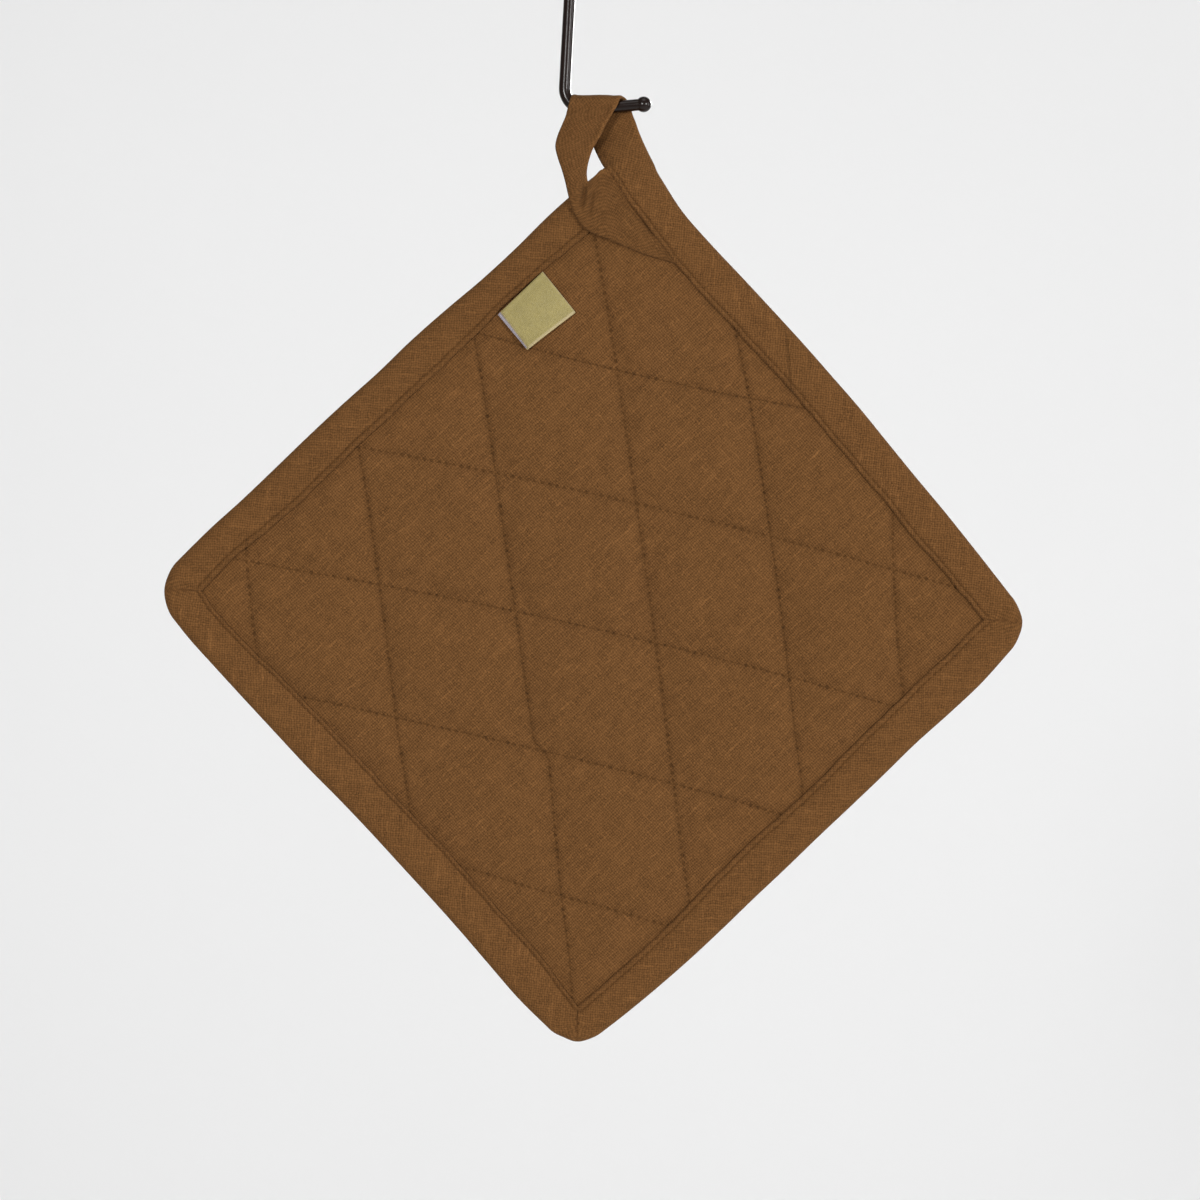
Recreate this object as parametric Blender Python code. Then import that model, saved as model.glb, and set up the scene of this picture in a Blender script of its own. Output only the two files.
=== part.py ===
"""A quilted pot holder that hangs by its corner loop on a black wire hook.

Sizes below are in millimetres; the meshes are made in metres, +Z up.  Someone
who faces the cloth looks along +Y, with +X to the right.  The origin is the
middle of the flat cut at the top of the hook's stem.
"""

import math
from collections import namedtuple

import bmesh
import bpy
from mathutils import Vector

MM = 0.001

# The hook: round wire that comes down, turns and runs level to a ball tip.
WIRE_RADIUS = 2.0
BALL_RADIUS = 2.75
PLUMB_TOP = 4.5
STEM_LEAN = math.radians(2.7)
BEND_MIDDLE = Vector((5.5, 0.0, -42.5))
BEND_RADIUS = 7.2
BEND_STEPS = 10
BAR_RISE = math.radians(6.0)
BALL_X = 25.1

# The pad hangs a little behind the wire, its corner up.
PAD_MIDDLE = Vector((9.2, 1.5, -220.1))
RIM_HALF = 1.5
GROOVE_RISE = 0.6
PUFF_RISE = 1.9
GROOVE_SPREAD = 5.0
PUFF_SPREAD = 4.0
EDGE_SPREAD = 6.0
RIM_BEYOND_SEAM = 7.8
RIM_BEYOND_CORNER = 6.5
CREASE_INSIDE_SEAM = 0.3
FOOT_INSIDE_SEAM = 4.5
BOW_FADES_OVER = 14.0
CROSSING_ROUNDS = 12
CUT_TOUCH = 0.02

# The binding: a folded strip over the pad's edge.
LIP_INNER = 1.8
LIP_OUTER = 2.8
LIP_RADIUS = 0.5
STITCH_IN = 1.6
STITCH_HALF = 2.5
CROWN_AT = 0.42
CROWN_HALF = 3.15
SHOULDER_IN = 2.2
SHOULDER_HALF = 2.7
FOLD_IN = 0.6
FOLD_HALF = 1.4
HOLLOW_IN = 1.9
HOLLOW_HALF = 0.8
HOLLOW_SHOULDER_IN = 2.9
MITRE_DIP = 0.45
SIDE_STEPS = 18
FAN_STEPS = 8
FAN_AT = (0.0, 0.25, 0.5, 0.75, 1.0)

# The loop: the same strip, sewn flat.
BAND_THICK = 2.2
BAND_GAP = 0.3
WRAP_STEPS = 5
WRAP_WIDTH = 16.6
WRAP_START_X = 13.9
WRAP_SHIFT = -6.4
WRAP_SLACK = 0.9
BAND_FINE = 3
# A band's section: how far across, and how thick there as a part of half its thickness.
BAND_SECTION = ((0.0, 0.45), (0.09, 0.9), (0.3, 1.0), (0.7, 1.0), (0.91, 0.9), (1.0, 0.45))

# The label: a folded ribbon, bare.
TAB_HALF = 0.7
TAB_GAP = 0.35
TAB_STEPS = 6

# Where the binding's seam turns, from the pad's middle, and how far off the outer
# edge is there, a quarter, a half and three quarters round the corner.
Corner = namedtuple("Corner", "name x z reach mitred")
CORNERS = (
    Corner("left", -136.3, 4.6, (12.2, 12.9, 13.1), True),
    Corner("bottom", -6.8, -138.6, (10.9, 11.3, 11.4), True),
    Corner("right", 132.8, -5.3, (13.9, 13.3, 13.3), True),
    Corner("top", 10.3, 139.3, (17.8, 14.1, 13.0), False),
)

# How far the seam and the binding's outer edge stand off the straight line from
# corner to corner, at the places in BOW_AT along it.
BOW_AT = (0.0, 0.1, 0.3, 0.5, 0.7, 0.9, 1.0)
Side = namedtuple("Side", "name seam edge")
SIDES = (
    Side("lower_left", (0.0, 0.8, -1.3, -2.1, -2.6, -1.8, 0.0), (13.5, 13.9, 13.6, 13.0, 12.0, 13.2, 12.1)),
    Side("lower_right", (0.0, 0.6, 0.5, 0.3, 0.1, 0.0, 0.0), (12.2, 14.1, 15.1, 15.1, 14.7, 15.5, 14.4)),
    Side("upper_right", (0.0, -0.2, 0.2, 0.5, -0.7, -1.4, 0.0), (13.0, 13.6, 14.4, 15.0, 13.8, 12.3, 14.4)),
    Side("upper_left", (0.0, 0.2, 0.9, 0.8, 0.3, 0.8, 0.0), (13.6, 13.6, 14.0, 14.6, 14.5, 14.0, 13.7)),
)

# Quilting lines in two directions: where each crosses the pad's middle line, how it
# leans and how it bows.  The first and last rows lie off the pad.
Line = namedtuple("Line", "name at lean bow")
STEEP_LINES = (
    Line("off_left", -164.0, -0.112, 0.0),
    Line("steep_1", -118.6, -0.112, 0.0),
    Line("steep_2", -74.1, -0.130, -0.0003),
    Line("steep_3", -27.3, -0.150, -0.0001),
    Line("steep_4", 18.2, -0.135, -0.0001),
    Line("steep_5", 62.8, -0.130, -0.0003),
    Line("steep_6", 102.4, -0.060, 0.001),
    Line("off_right", 148.0, -0.060, 0.0),
)
LEVEL_LINES = (
    Line("off_bottom", -150.0, -0.250, -0.0004),
    Line("level_1", -103.6, -0.250, -0.0004),
    Line("level_2", -55.0, -0.250, -0.0003),
    Line("level_3", -8.6, -0.228, -0.0003),
    Line("level_4", 37.7, -0.223, -0.0003),
    Line("level_5", 82.2, -0.240, 0.0004),
    Line("level_6", 128.0, -0.240, 0.0004),
    Line("off_top", 174.0, -0.240, 0.0004),
)
# Where the mesh has its points between two quilting lines.
BETWEEN_LINES = (0.0, 0.05, 0.12, 0.24, 0.5, 0.76, 0.88, 0.95)

# The loop's two edges from its root, up behind the bar, over it, and down in front
# to the tail that is sewn in on the corner's face.
Rung = namedtuple("Rung", "name left_x left_z left_y right_x right_z right_y")
BACK_RUNGS = (
    Rung("root", 11.6, -68.9, 1.5, 26.7, -64.0, 1.5),
    Rung("back_low", 10.4, -64.0, 2.8, 25.3, -60.6, 2.8),
    Rung("back_mid", 8.6, -59.6, 3.9, 23.6, -56.1, 3.9),
    Rung("back_high", 6.9, -54.4, 4.4, 22.1, -51.9, 4.0),
)
FRONT_RUNGS = (
    Rung("front_high", -1.9, -54.0, -4.8, 12.4, -54.6, -3.9),
    Rung("front_mid", -4.1, -58.9, -5.8, 9.7, -59.2, -3.8),
    Rung("front_bulge", -4.4, -63.3, -6.5, 7.6, -63.5, -3.3),
    Rung("front_low", -3.6, -67.5, -7.0, 6.2, -67.6, -2.2),
    Rung("neck", -2.3, -71.6, -6.6, 5.6, -71.3, -1.7),
    Rung("corner", -1.1, -75.4, -5.6, 5.6, -74.9, -2.4),
    Rung("over_edge", -0.4, -79.5, -4.6, 7.7, -77.5, -3.4),
    Rung("turn", 0.7, -84.0, -3.8, 9.9, -79.7, -3.3),
    Rung("turn_low", 3.2, -88.6, -3.2, 11.8, -81.2, -3.3),
    Rung("tail_in", 6.7, -91.6, -3.1, 14.3, -82.1, -3.3),
    Rung("tail_mid", 12.2, -93.8, -3.1, 17.3, -82.6, -3.3),
    Rung("tail_out", 20.4, -97.1, -2.9, 19.9, -82.8, -3.1),
    Rung("tail_end", 31.0, -99.6, -1.9, 22.2, -84.9, -2.1),
)

# The label's corners on the cloth, from the pad's middle.
Spot = namedtuple("Spot", "name x z lift")
TAB_SPOTS = (
    Spot("seam_low", -33.6, 98.5, 0.0),
    Spot("seam_high", -18.1, 113.3, 0.0),
    Spot("free_high", -7.7, 100.6, 0.5),
    Spot("free_low", -24.2, 88.2, 1.0),
)

# Colours, roughness and metal.
Finish = namedtuple("Finish", "colour roughness metallic")
LINEN = Finish((0.170, 0.075, 0.027), 0.9, 0.0)
SATIN = Finish((0.260, 0.185, 0.055), 0.5, 0.0)
BLACK_WIRE = Finish((0.012, 0.012, 0.013), 0.35, 0.6)


def clear_scene():
    """Remove every object that the new file came with."""
    for old in list(bpy.data.objects):
        bpy.data.objects.remove(old, do_unlink=True)


def new_collection(name):
    collection = bpy.data.collections.new(name)
    bpy.context.scene.collection.children.link(collection)
    return collection


def new_material(name, finish):
    material = bpy.data.materials.new(name)
    material.use_nodes = True
    shader = material.node_tree.nodes["Principled BSDF"]
    shader.inputs["Base Color"].default_value = (*finish.colour, 1.0)
    shader.inputs["Roughness"].default_value = finish.roughness
    shader.inputs["Metallic"].default_value = finish.metallic
    return material


def add_object(name, mesh, material, place=Vector()):
    """Finish a bmesh in millimetres as an object in metres, at its place."""
    bmesh.ops.recalc_face_normals(mesh, faces=mesh.faces)
    bmesh.ops.scale(mesh, vec=(MM, MM, MM), verts=mesh.verts)
    data = bpy.data.meshes.new(name)
    mesh.to_mesh(data)
    mesh.free()
    data.materials.append(material)
    data.shade_smooth()
    data.set_sharp_from_angle(angle=math.radians(50.0))
    thing = bpy.data.objects.new(name, data)
    thing.location = place * MM
    PARTS.objects.link(thing)
    return thing


def smooth_between(values, places, at):
    """Read a Catmull-Rom curve through values that are given at rising places."""
    last = len(places) - 1
    step = 0
    while step < last - 1 and at > places[step + 1]:
        step += 1
    span = places[step + 1] - places[step]
    ratio = (at - places[step]) / span

    def slope(index):
        low, high = max(index - 1, 0), min(index + 1, last)
        return (values[high] - values[low]) / (places[high] - places[low]) * span

    square, cube = ratio * ratio, ratio * ratio * ratio
    return (
        (2 * cube - 3 * square + 1) * values[step]
        + (cube - 2 * square + ratio) * slope(step)
        + (3 * square - 2 * cube) * values[step + 1]
        + (cube - square) * slope(step + 1)
    )


def corner_point(index):
    corner = CORNERS[index % len(CORNERS)]
    return Vector((corner.x, 0.0, corner.z))


def side_frame(index):
    """A side's start, its direction, its outward normal and its length."""
    start = corner_point(index)
    run = corner_point(index + 1) - start
    along = run.normalized()
    return start, along, Vector((along.z, 0.0, -along.x)), run.length


def side_reading(index, point):
    """How far along a side a point is, and how far outside its straight line."""
    start, along, outward, length = side_frame(index)
    offset = point - start
    ratio = min(max(offset.dot(along) / length, 0.0), 1.0)
    return ratio, offset.dot(outward)


def inside_seam(point):
    """How far inside the binding's seam a point of the pad is."""
    depth = math.inf
    for index, side in enumerate(SIDES):
        ratio, beyond = side_reading(index, point)
        depth = min(depth, smooth_between(side.seam, BOW_AT, ratio) - beyond)
    return depth


def line_value(lines, row, along):
    """Where a quilting line is; between two lines the row is a fraction."""
    low = min(int(row), len(lines) - 2)
    ratio = row - low
    first, second = lines[low], lines[low + 1]
    at_first = first.at + first.lean * along + first.bow * along * along
    at_second = second.at + second.lean * along + second.bow * along * along
    return at_first + (at_second - at_first) * ratio


def quilt_point(steep_row, level_row):
    """The place where a steep and a level row of the quilting cross."""
    x, z = 0.0, 0.0
    for _ in range(CROSSING_ROUNDS):
        x = line_value(STEEP_LINES, steep_row, z)
        z = line_value(LEVEL_LINES, level_row, x)
    return Vector((x, 0.0, z))


def off_lines(lines, across, along):
    """How far a point is from the nearest quilting line of one direction."""
    return min(abs(across - line_value(lines, row, along)) for row in range(len(lines)))


def dome(distance, spread):
    """A rise from 0 at a seam to 1 far from it, steep at the seam."""
    return 1.0 - math.exp(-max(distance, 0.0) / spread)


def pad_half(point):
    """Half of the filled pad's thickness at a point."""
    depth = inside_seam(point) - CREASE_INSIDE_SEAM
    steep = dome(off_lines(STEEP_LINES, point.x, point.z), PUFF_SPREAD)
    level = dome(off_lines(LEVEL_LINES, point.z, point.x), PUFF_SPREAD)
    puff = steep * level * dome(depth, EDGE_SPREAD)
    return RIM_HALF + GROOVE_RISE * dome(depth, GROOVE_SPREAD) + PUFF_RISE * puff


def cut_by_plane(mesh, point, normal, clear):
    bmesh.ops.bisect_plane(
        mesh,
        geom=mesh.verts[:] + mesh.edges[:] + mesh.faces[:],
        plane_co=point,
        plane_no=normal,
        clear_outer=clear,
        dist=CUT_TOUCH,
    )


def follow_the_bow(point):
    """Shift a point by the nearest seam's bow, which fades away from the seam."""
    shift = Vector()
    for index, side in enumerate(SIDES):
        ratio, beyond = side_reading(index, point)
        fade = math.exp(-((beyond / BOW_FADES_OVER) ** 2))
        shift += side_frame(index)[2] * smooth_between(side.seam, BOW_AT, ratio) * fade
    return point + shift


def make_pad(material):
    """The quilted pad: both faces crowned between the lines, its rim in the binding."""
    per_line = len(BETWEEN_LINES)
    steep_steps = (len(STEEP_LINES) - 1) * per_line
    level_steps = (len(LEVEL_LINES) - 1) * per_line
    mesh = bmesh.new()
    bmesh.ops.create_grid(mesh, x_segments=steep_steps, y_segments=level_steps, size=1.0)
    for vert in mesh.verts:
        steep_step = round((vert.co.x + 1.0) / 2.0 * steep_steps)
        level_step = round((vert.co.y + 1.0) / 2.0 * level_steps)
        steep_row = steep_step // per_line + BETWEEN_LINES[steep_step % per_line]
        level_row = level_step // per_line + BETWEEN_LINES[level_step % per_line]
        vert.co = quilt_point(steep_row, level_row)
    for index in range(len(CORNERS)):
        start, _, outward, _ = side_frame(index)
        _, _, last_outward, _ = side_frame(index - 1)
        cut_by_plane(mesh, start + outward * RIM_BEYOND_SEAM, outward, True)
        diagonal = (outward + last_outward).normalized()
        cut_by_plane(mesh, start + diagonal * RIM_BEYOND_CORNER, diagonal, True)
        cut_by_plane(mesh, start - outward * CREASE_INSIDE_SEAM, outward, False)
        cut_by_plane(mesh, start - outward * FOOT_INSIDE_SEAM, outward, False)
    for vert in mesh.verts:
        vert.co = follow_the_bow(vert.co)
    grown = bmesh.ops.extrude_face_region(mesh, geom=mesh.faces[:])
    back = {item for item in grown["geom"] if isinstance(item, bmesh.types.BMVert)}
    for vert in mesh.verts:
        half = pad_half(vert.co)
        vert.co.y = half if vert in back else -half
    return add_object("quilted_pad", mesh, material, PAD_MIDDLE)


def binding_section(seam, outward, width, dip):
    """One U of the binding, from its front lip round the fold to its back lip."""
    half = (
        (0.0, LIP_OUTER - dip),
        (STITCH_IN, STITCH_HALF - dip),
        (CROWN_AT * width, CROWN_HALF - dip),
        (width - SHOULDER_IN, SHOULDER_HALF - dip),
        (width - FOLD_IN, FOLD_HALF),
    )
    inner_half = (
        (width - HOLLOW_IN, HOLLOW_HALF),
        (width - HOLLOW_SHOULDER_IN, LIP_INNER),
        (0.0, LIP_INNER),
    )
    outline = [(reach, -height) for reach, height in half]
    outline += [(width, 0.0)]
    outline += [(reach, height) for reach, height in reversed(half)]
    outline += [(reach, height) for reach, height in reversed(inner_half)]
    outline += [(reach, -height) for reach, height in inner_half]
    return [seam + outward * reach + Vector((0.0, height, 0.0)) for reach, height in outline]


def binding_stations():
    """The binding's sections, round the pad: side, corner, side, corner."""
    sections = []
    for index, side in enumerate(SIDES):
        start, along, outward, length = side_frame(index)
        for step in range(SIDE_STEPS + 1):
            ratio = step / SIDE_STEPS
            seam_bow = smooth_between(side.seam, BOW_AT, ratio) + LIP_RADIUS
            edge_bow = smooth_between(side.edge, BOW_AT, ratio)
            seam = start + along * (length * ratio) + outward * seam_bow
            sections.append(binding_section(seam, outward, edge_bow - seam_bow, 0.0))
        corner = CORNERS[(index + 1) % len(CORNERS)]
        following = SIDES[(index + 1) % len(SIDES)]
        reaches = (side.edge[-1], *corner.reach, following.edge[0])
        next_outward = side_frame((index + 1) % len(SIDES))[2]
        turn = math.acos(outward.dot(next_outward))
        for step in range(1, FAN_STEPS):
            ratio = step / FAN_STEPS
            angle = turn * ratio
            direction = outward * math.cos(angle) + along * math.sin(angle)
            reach = smooth_between(reaches, FAN_AT, ratio)
            dip = MITRE_DIP if corner.mitred and step * 2 == FAN_STEPS else 0.0
            seam = corner_point(index + 1) + direction * LIP_RADIUS
            sections.append(binding_section(seam, direction, reach - LIP_RADIUS, dip))
    return sections


def loft(mesh, sections, closed):
    """Skin a row of sections, in a ring or with a cap at either end."""
    rings = [[mesh.verts.new(point) for point in section] for section in sections]
    pairs = list(zip(rings, rings[1:]))
    if closed:
        pairs.append((rings[-1], rings[0]))
    for first, second in pairs:
        for here in range(len(first)):
            there = (here + 1) % len(first)
            mesh.faces.new((first[here], first[there], second[there], second[here]))
    if not closed:
        mesh.faces.new(rings[0])
        mesh.faces.new(list(reversed(rings[-1])))


def make_binding(material):
    """The folded strip that is sewn over the pad's edge, all the way round."""
    mesh = bmesh.new()
    loft(mesh, binding_stations(), closed=True)
    return add_object("binding", mesh, material, PAD_MIDDLE)


def bar_height(x):
    """The height of the bar's middle line."""
    start_x = BEND_MIDDLE.x + BEND_RADIUS * math.sin(BAR_RISE)
    start_z = BEND_MIDDLE.z - BEND_RADIUS * math.cos(BAR_RISE)
    return start_z + (x - start_x) * math.tan(BAR_RISE)


def wrap_rungs():
    """The loop's rungs over the bar, from its back round the top to its front."""
    rungs = []
    radius = WIRE_RADIUS + BAND_GAP + BAND_THICK / 2
    for step in range(WRAP_STEPS):
        ratio = step / (WRAP_STEPS - 1)
        angle = math.pi * ratio
        middle = WRAP_START_X + WRAP_SHIFT * ratio
        ends = []
        for edge, reach in ((-0.5, radius + WRAP_SLACK), (0.5, radius)):
            x = middle + WRAP_WIDTH * edge
            ends += [x, bar_height(x) + reach * math.sin(angle), reach * math.cos(angle)]
        rungs.append(Rung("over_bar", *ends))
    return rungs


def band_rungs():
    """All of the loop's rungs as pairs of points, with finer ones between them."""
    rows = [*BACK_RUNGS, *wrap_rungs(), *FRONT_RUNGS]
    places = list(range(len(rows)))
    columns = list(zip(*(row[1:] for row in rows)))
    pairs = []
    for step in range((len(rows) - 1) * BAND_FINE + 1):
        at = step / BAND_FINE
        left_x, left_z, left_y, right_x, right_z, right_y = (
            smooth_between(column, places, at) for column in columns
        )
        pairs.append((Vector((left_x, left_y, left_z)), Vector((right_x, right_y, right_z))))
    return pairs


def band_section(left, right, travel):
    """A flat band's section with round edges, square to its way."""
    across = (right - left).normalized()
    face = across.cross(travel).normalized() * (BAND_THICK / 2)
    width = (right - left).length
    outline = [(reach, -height) for reach, height in BAND_SECTION]
    outline += [(reach, height) for reach, height in reversed(BAND_SECTION)]
    return [left + across * (width * reach) + face * height for reach, height in outline]


def make_loop(material):
    """The hanging loop, one band from the binding's end to the tail on the face."""
    pairs = band_rungs()
    middles = [(left + right) / 2 for left, right in pairs]
    sections = []
    for index, (left, right) in enumerate(pairs):
        before = middles[max(index - 1, 0)]
        after = middles[min(index + 1, len(middles) - 1)]
        sections.append(band_section(left, right, after - before))
    mesh = bmesh.new()
    loft(mesh, sections, closed=False)
    return add_object("hanging_loop", mesh, material)


def make_label(material):
    """The bare label: a ribbon folded on itself, its ends caught in the seam."""
    low, high, free_high, free_low = (Vector((spot.x, 0.0, spot.z)) for spot in TAB_SPOTS)
    lifts = [spot.lift for spot in TAB_SPOTS]
    mesh = bmesh.new()
    bmesh.ops.create_grid(mesh, x_segments=TAB_STEPS, y_segments=TAB_STEPS, size=0.5)
    heights = {}
    for vert in mesh.verts:
        along, out = vert.co.x + 0.5, vert.co.y + 0.5
        near = low.lerp(high, along)
        far = free_low.lerp(free_high, along)
        lift = (lifts[0] * (1 - along) + lifts[1] * along) * (1 - out)
        lift += (lifts[3] * (1 - along) + lifts[2] * along) * out
        vert.co = near.lerp(far, out)
        heights[vert.index] = pad_half(vert.co) + TAB_GAP + TAB_HALF + lift
    for vert in mesh.verts:
        vert.co.y = -heights[vert.index] - TAB_HALF
    grown = bmesh.ops.extrude_face_region(mesh, geom=mesh.faces[:])
    for item in grown["geom"]:
        if isinstance(item, bmesh.types.BMVert):
            item.co.y += 2 * TAB_HALF
    return add_object("label_tab", mesh, material, PAD_MIDDLE)


def hook_route():
    """The wire's middle line from the cut on top to the middle of the ball."""
    points = [Vector((0.0, 0.0, 0.0)), Vector((0.0, 0.0, -PLUMB_TOP))]
    start, end = math.pi - STEM_LEAN, 1.5 * math.pi + BAR_RISE
    for step in range(BEND_STEPS + 1):
        angle = start + (end - start) * step / BEND_STEPS
        arm = Vector((math.cos(angle), 0.0, math.sin(angle))) * BEND_RADIUS
        points.append(BEND_MIDDLE + arm)
    points.append(Vector((BALL_X, 0.0, bar_height(BALL_X))))
    return points


def make_hook(material):
    """The wire with its ball tip, joined in one."""
    route = hook_route()
    curve = bpy.data.curves.new("wire_line", "CURVE")
    curve.dimensions = "3D"
    curve.bevel_depth = WIRE_RADIUS * MM
    curve.bevel_resolution = 3
    curve.use_fill_caps = True
    spline = curve.splines.new("POLY")
    spline.points.add(len(route) - 1)
    for point, place in zip(spline.points, route):
        point.co = (*(place * MM), 1.0)
    line = bpy.data.objects.new("wire_line", curve)
    PARTS.objects.link(line)
    evaluated = line.evaluated_get(bpy.context.evaluated_depsgraph_get())
    data = bpy.data.meshes.new_from_object(evaluated)
    bpy.data.objects.remove(line, do_unlink=True)
    welded = bmesh.new()
    welded.from_mesh(data)
    bmesh.ops.remove_doubles(welded, verts=welded.verts, dist=0.00001)
    bmesh.ops.recalc_face_normals(welded, faces=welded.faces)
    welded.to_mesh(data)
    welded.free()
    data.materials.clear()
    data.materials.append(material)
    hook = bpy.data.objects.new("hook_wire", data)
    PARTS.objects.link(hook)
    bpy.ops.mesh.primitive_uv_sphere_add(
        segments=20, ring_count=12, radius=BALL_RADIUS * MM, location=route[-1] * MM
    )
    ball = bpy.context.object
    ball.name = "ball_cutter"
    ball.hide_render = True
    ball.display_type = "WIRE"
    for collection in list(ball.users_collection):
        collection.objects.unlink(ball)
    CUTTERS.objects.link(ball)
    union = hook.modifiers.new("ball_tip", "BOOLEAN")
    union.operation = "UNION"
    union.object = ball
    data.shade_smooth()
    data.set_sharp_from_angle(angle=math.radians(50.0))
    return hook


clear_scene()
PARTS = new_collection("pot_holder_on_wire_hook")
CUTTERS = new_collection("joining_shapes")
linen = new_material("brown_linen", LINEN)
satin = new_material("olive_satin", SATIN)
wire_black = new_material("black_wire", BLACK_WIRE)

stand_in = bpy.data.objects.new("pot_holder", None)
PARTS.objects.link(stand_in)
for piece in (
    make_hook(wire_black),
    make_loop(linen),
    make_binding(linen),
    make_pad(linen),
    make_label(satin),
):
    piece.parent = stand_in
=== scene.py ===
"""The looks of a quilted linen pot holder that hangs by its corner loop on a black wire hook.

Lengths are in millimetres, and a mesh becomes metres as it is made. Someone who faces the
cloth looks along +Y, with +X to the right, as in the frame.
"""

import math
from collections import namedtuple

import bmesh
import bpy
import numpy as np
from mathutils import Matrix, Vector
from mathutils.bvhtree import BVHTree


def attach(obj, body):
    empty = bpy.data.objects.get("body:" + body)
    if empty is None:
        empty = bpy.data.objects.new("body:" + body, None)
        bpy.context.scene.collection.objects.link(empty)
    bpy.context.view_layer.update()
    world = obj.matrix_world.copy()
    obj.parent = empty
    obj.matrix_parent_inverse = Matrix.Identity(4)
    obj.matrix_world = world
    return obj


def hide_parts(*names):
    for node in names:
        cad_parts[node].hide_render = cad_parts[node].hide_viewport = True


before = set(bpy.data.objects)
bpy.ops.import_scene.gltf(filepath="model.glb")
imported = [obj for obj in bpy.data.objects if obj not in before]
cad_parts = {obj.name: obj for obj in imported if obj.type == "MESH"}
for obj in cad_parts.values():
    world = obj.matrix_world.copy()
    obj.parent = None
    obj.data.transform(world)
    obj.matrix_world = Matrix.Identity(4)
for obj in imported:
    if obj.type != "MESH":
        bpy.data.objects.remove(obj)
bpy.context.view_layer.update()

MM = 0.001
ROOT = "root"
SEED = 11

# The pad: its middle in the frame, and half its thickness from the rim to a puff's top.
PAD_MIDDLE = np.array((9.2, 1.5, -220.1))
RIM_HALF = 1.5
GROOVE_RISE = 0.6
PUFF_RISE = 1.9
GROOVE_SPREAD = 5.0
PUFF_SPREAD = 4.0
EDGE_SPREAD = 6.0
RIM_BEYOND_SEAM = 6.0
RIM_BEYOND_CORNER = 4.5
BOW_FADES_OVER = 14.0
BOW_ROUNDS = 3
CREASE_INSIDE_SEAM = 0.3
CROSSING_ROUNDS = 10
ROWS_PER_CELL = 20
ROWS_CROWD = 0.45
CUT_TOUCH = 0.02
WELD = 0.12

# Beside a quilting line the stitches pull up small gathers, and longer drags further off.
# Each has its pitch along the line, how it slants and changes with the distance off it, its
# middle off the line, its width and its height.
Pull = namedtuple("Pull", "name pitch slant lean off wide high own_noise")
PULLS = (
    Pull("gather", 2.9, 0.0, 1.0 / 9.0, 1.6, 1.6, 0.16, 1),
    Pull("drag", 7.5, 1.0 / 11.0, 0.0, 3.5, 4.0, 0.15, 2),
)
SWAY_PITCH = 13.0
SWAY_HIGH = 0.12
PUCKERS_START_OVER = 3.0

# Steps in the noise that keep two sides of a line, two lines and the two faces unlike.
SIDES_APART = 3.7
LINES_APART = 9.1
FACES_APART = 5.3

# The cloth simulation that fills the quilting.
SWELL_FRAMES = 20
SWELL_QUALITY = 6
SWELL_PRESSURE = 4.0
SWELL_SLACK = -0.012
SWELL_MASS = 0.001
SWELL_STIFFNESS = 15.0
SWELL_SHEAR = 5.0
SWELL_BENDING = 0.05
SWELL_CAP = 0.8
SEWN_WITHIN = 0.06
RIM_SEWN_WITHIN = 1.0

# The binding, a bias strip folded over the pad's edge: heights of its section from the
# middle, at places from its inner edge and from its outer fold, round the pad and closed.
LIP_START = 0.38
LIP_AT = (0.1, -0.24, -0.28, -0.02, 0.22, 0.44, 0.64, 0.82, 1.0, 1.2, 1.54, 2.1, 3.0, 4.1)
LIP_WRAPPED = (1.82, 2.0, 2.3, 2.6, 2.72, 2.70, 2.60, 2.46, 2.36, 2.48, 2.70, 2.84, 2.94, 3.0)
LIP_CLOSED = (0.12, 0.25, 0.5, 0.85, 1.0, 1.0, 0.94, 0.86, 0.8, 0.86, 0.95, 1.0, 1.0, 1.0)
STITCH_COLUMN = 8
MID_STEPS = 17
CROWN_HALF = 3.15
CROWN_RISE = 0.15
FOLD_AT = (2.6, 2.0, 1.5, 1.0, 0.6, 0.25, 0.06)
FOLD_DEEP = 3.3
FOLD_HEIGHT = 3.0
HOLLOW_HALF = 1.8
HOLLOW_IN = 1.9
HOLLOW_SHOULDER_IN = 2.9
HOLLOW_MIDDLE = 0.4
FOLD_COLUMN = len(LIP_AT) + MID_STEPS + len(FOLD_AT)
BACK_LIP_COLUMN = 2 * FOLD_COLUMN
BACK_STITCH_COLUMN = BACK_LIP_COLUMN - STITCH_COLUMN
TO_VIEWER = np.array((0.0, -1.0, 0.0))

# The fan of stations round a corner, crowded at its mitre, and the mitre's dip.
FAN_STEPS = 24
FAN_CROWD = 0.55
FAN_AT = (0.0, 0.25, 0.5, 0.75, 1.0)
MITRE_DIP = 0.6
MITRE_WIDE = 0.05
DIP_STARTS_OVER = 1.5

# The sides in the order that the strip is sewn on, and the least share of wrapping at which
# it still counts as on the pad.
STRIP_ORDER = (3, 0, 1, 2)
ON_PAD = 0.9
PAST_CORNER = 0.01

# How far apart two sides and two quilting lines lie on their maps.
MAP_APART = 300.0
LINE_MAPS_APART = 1000.0

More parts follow.
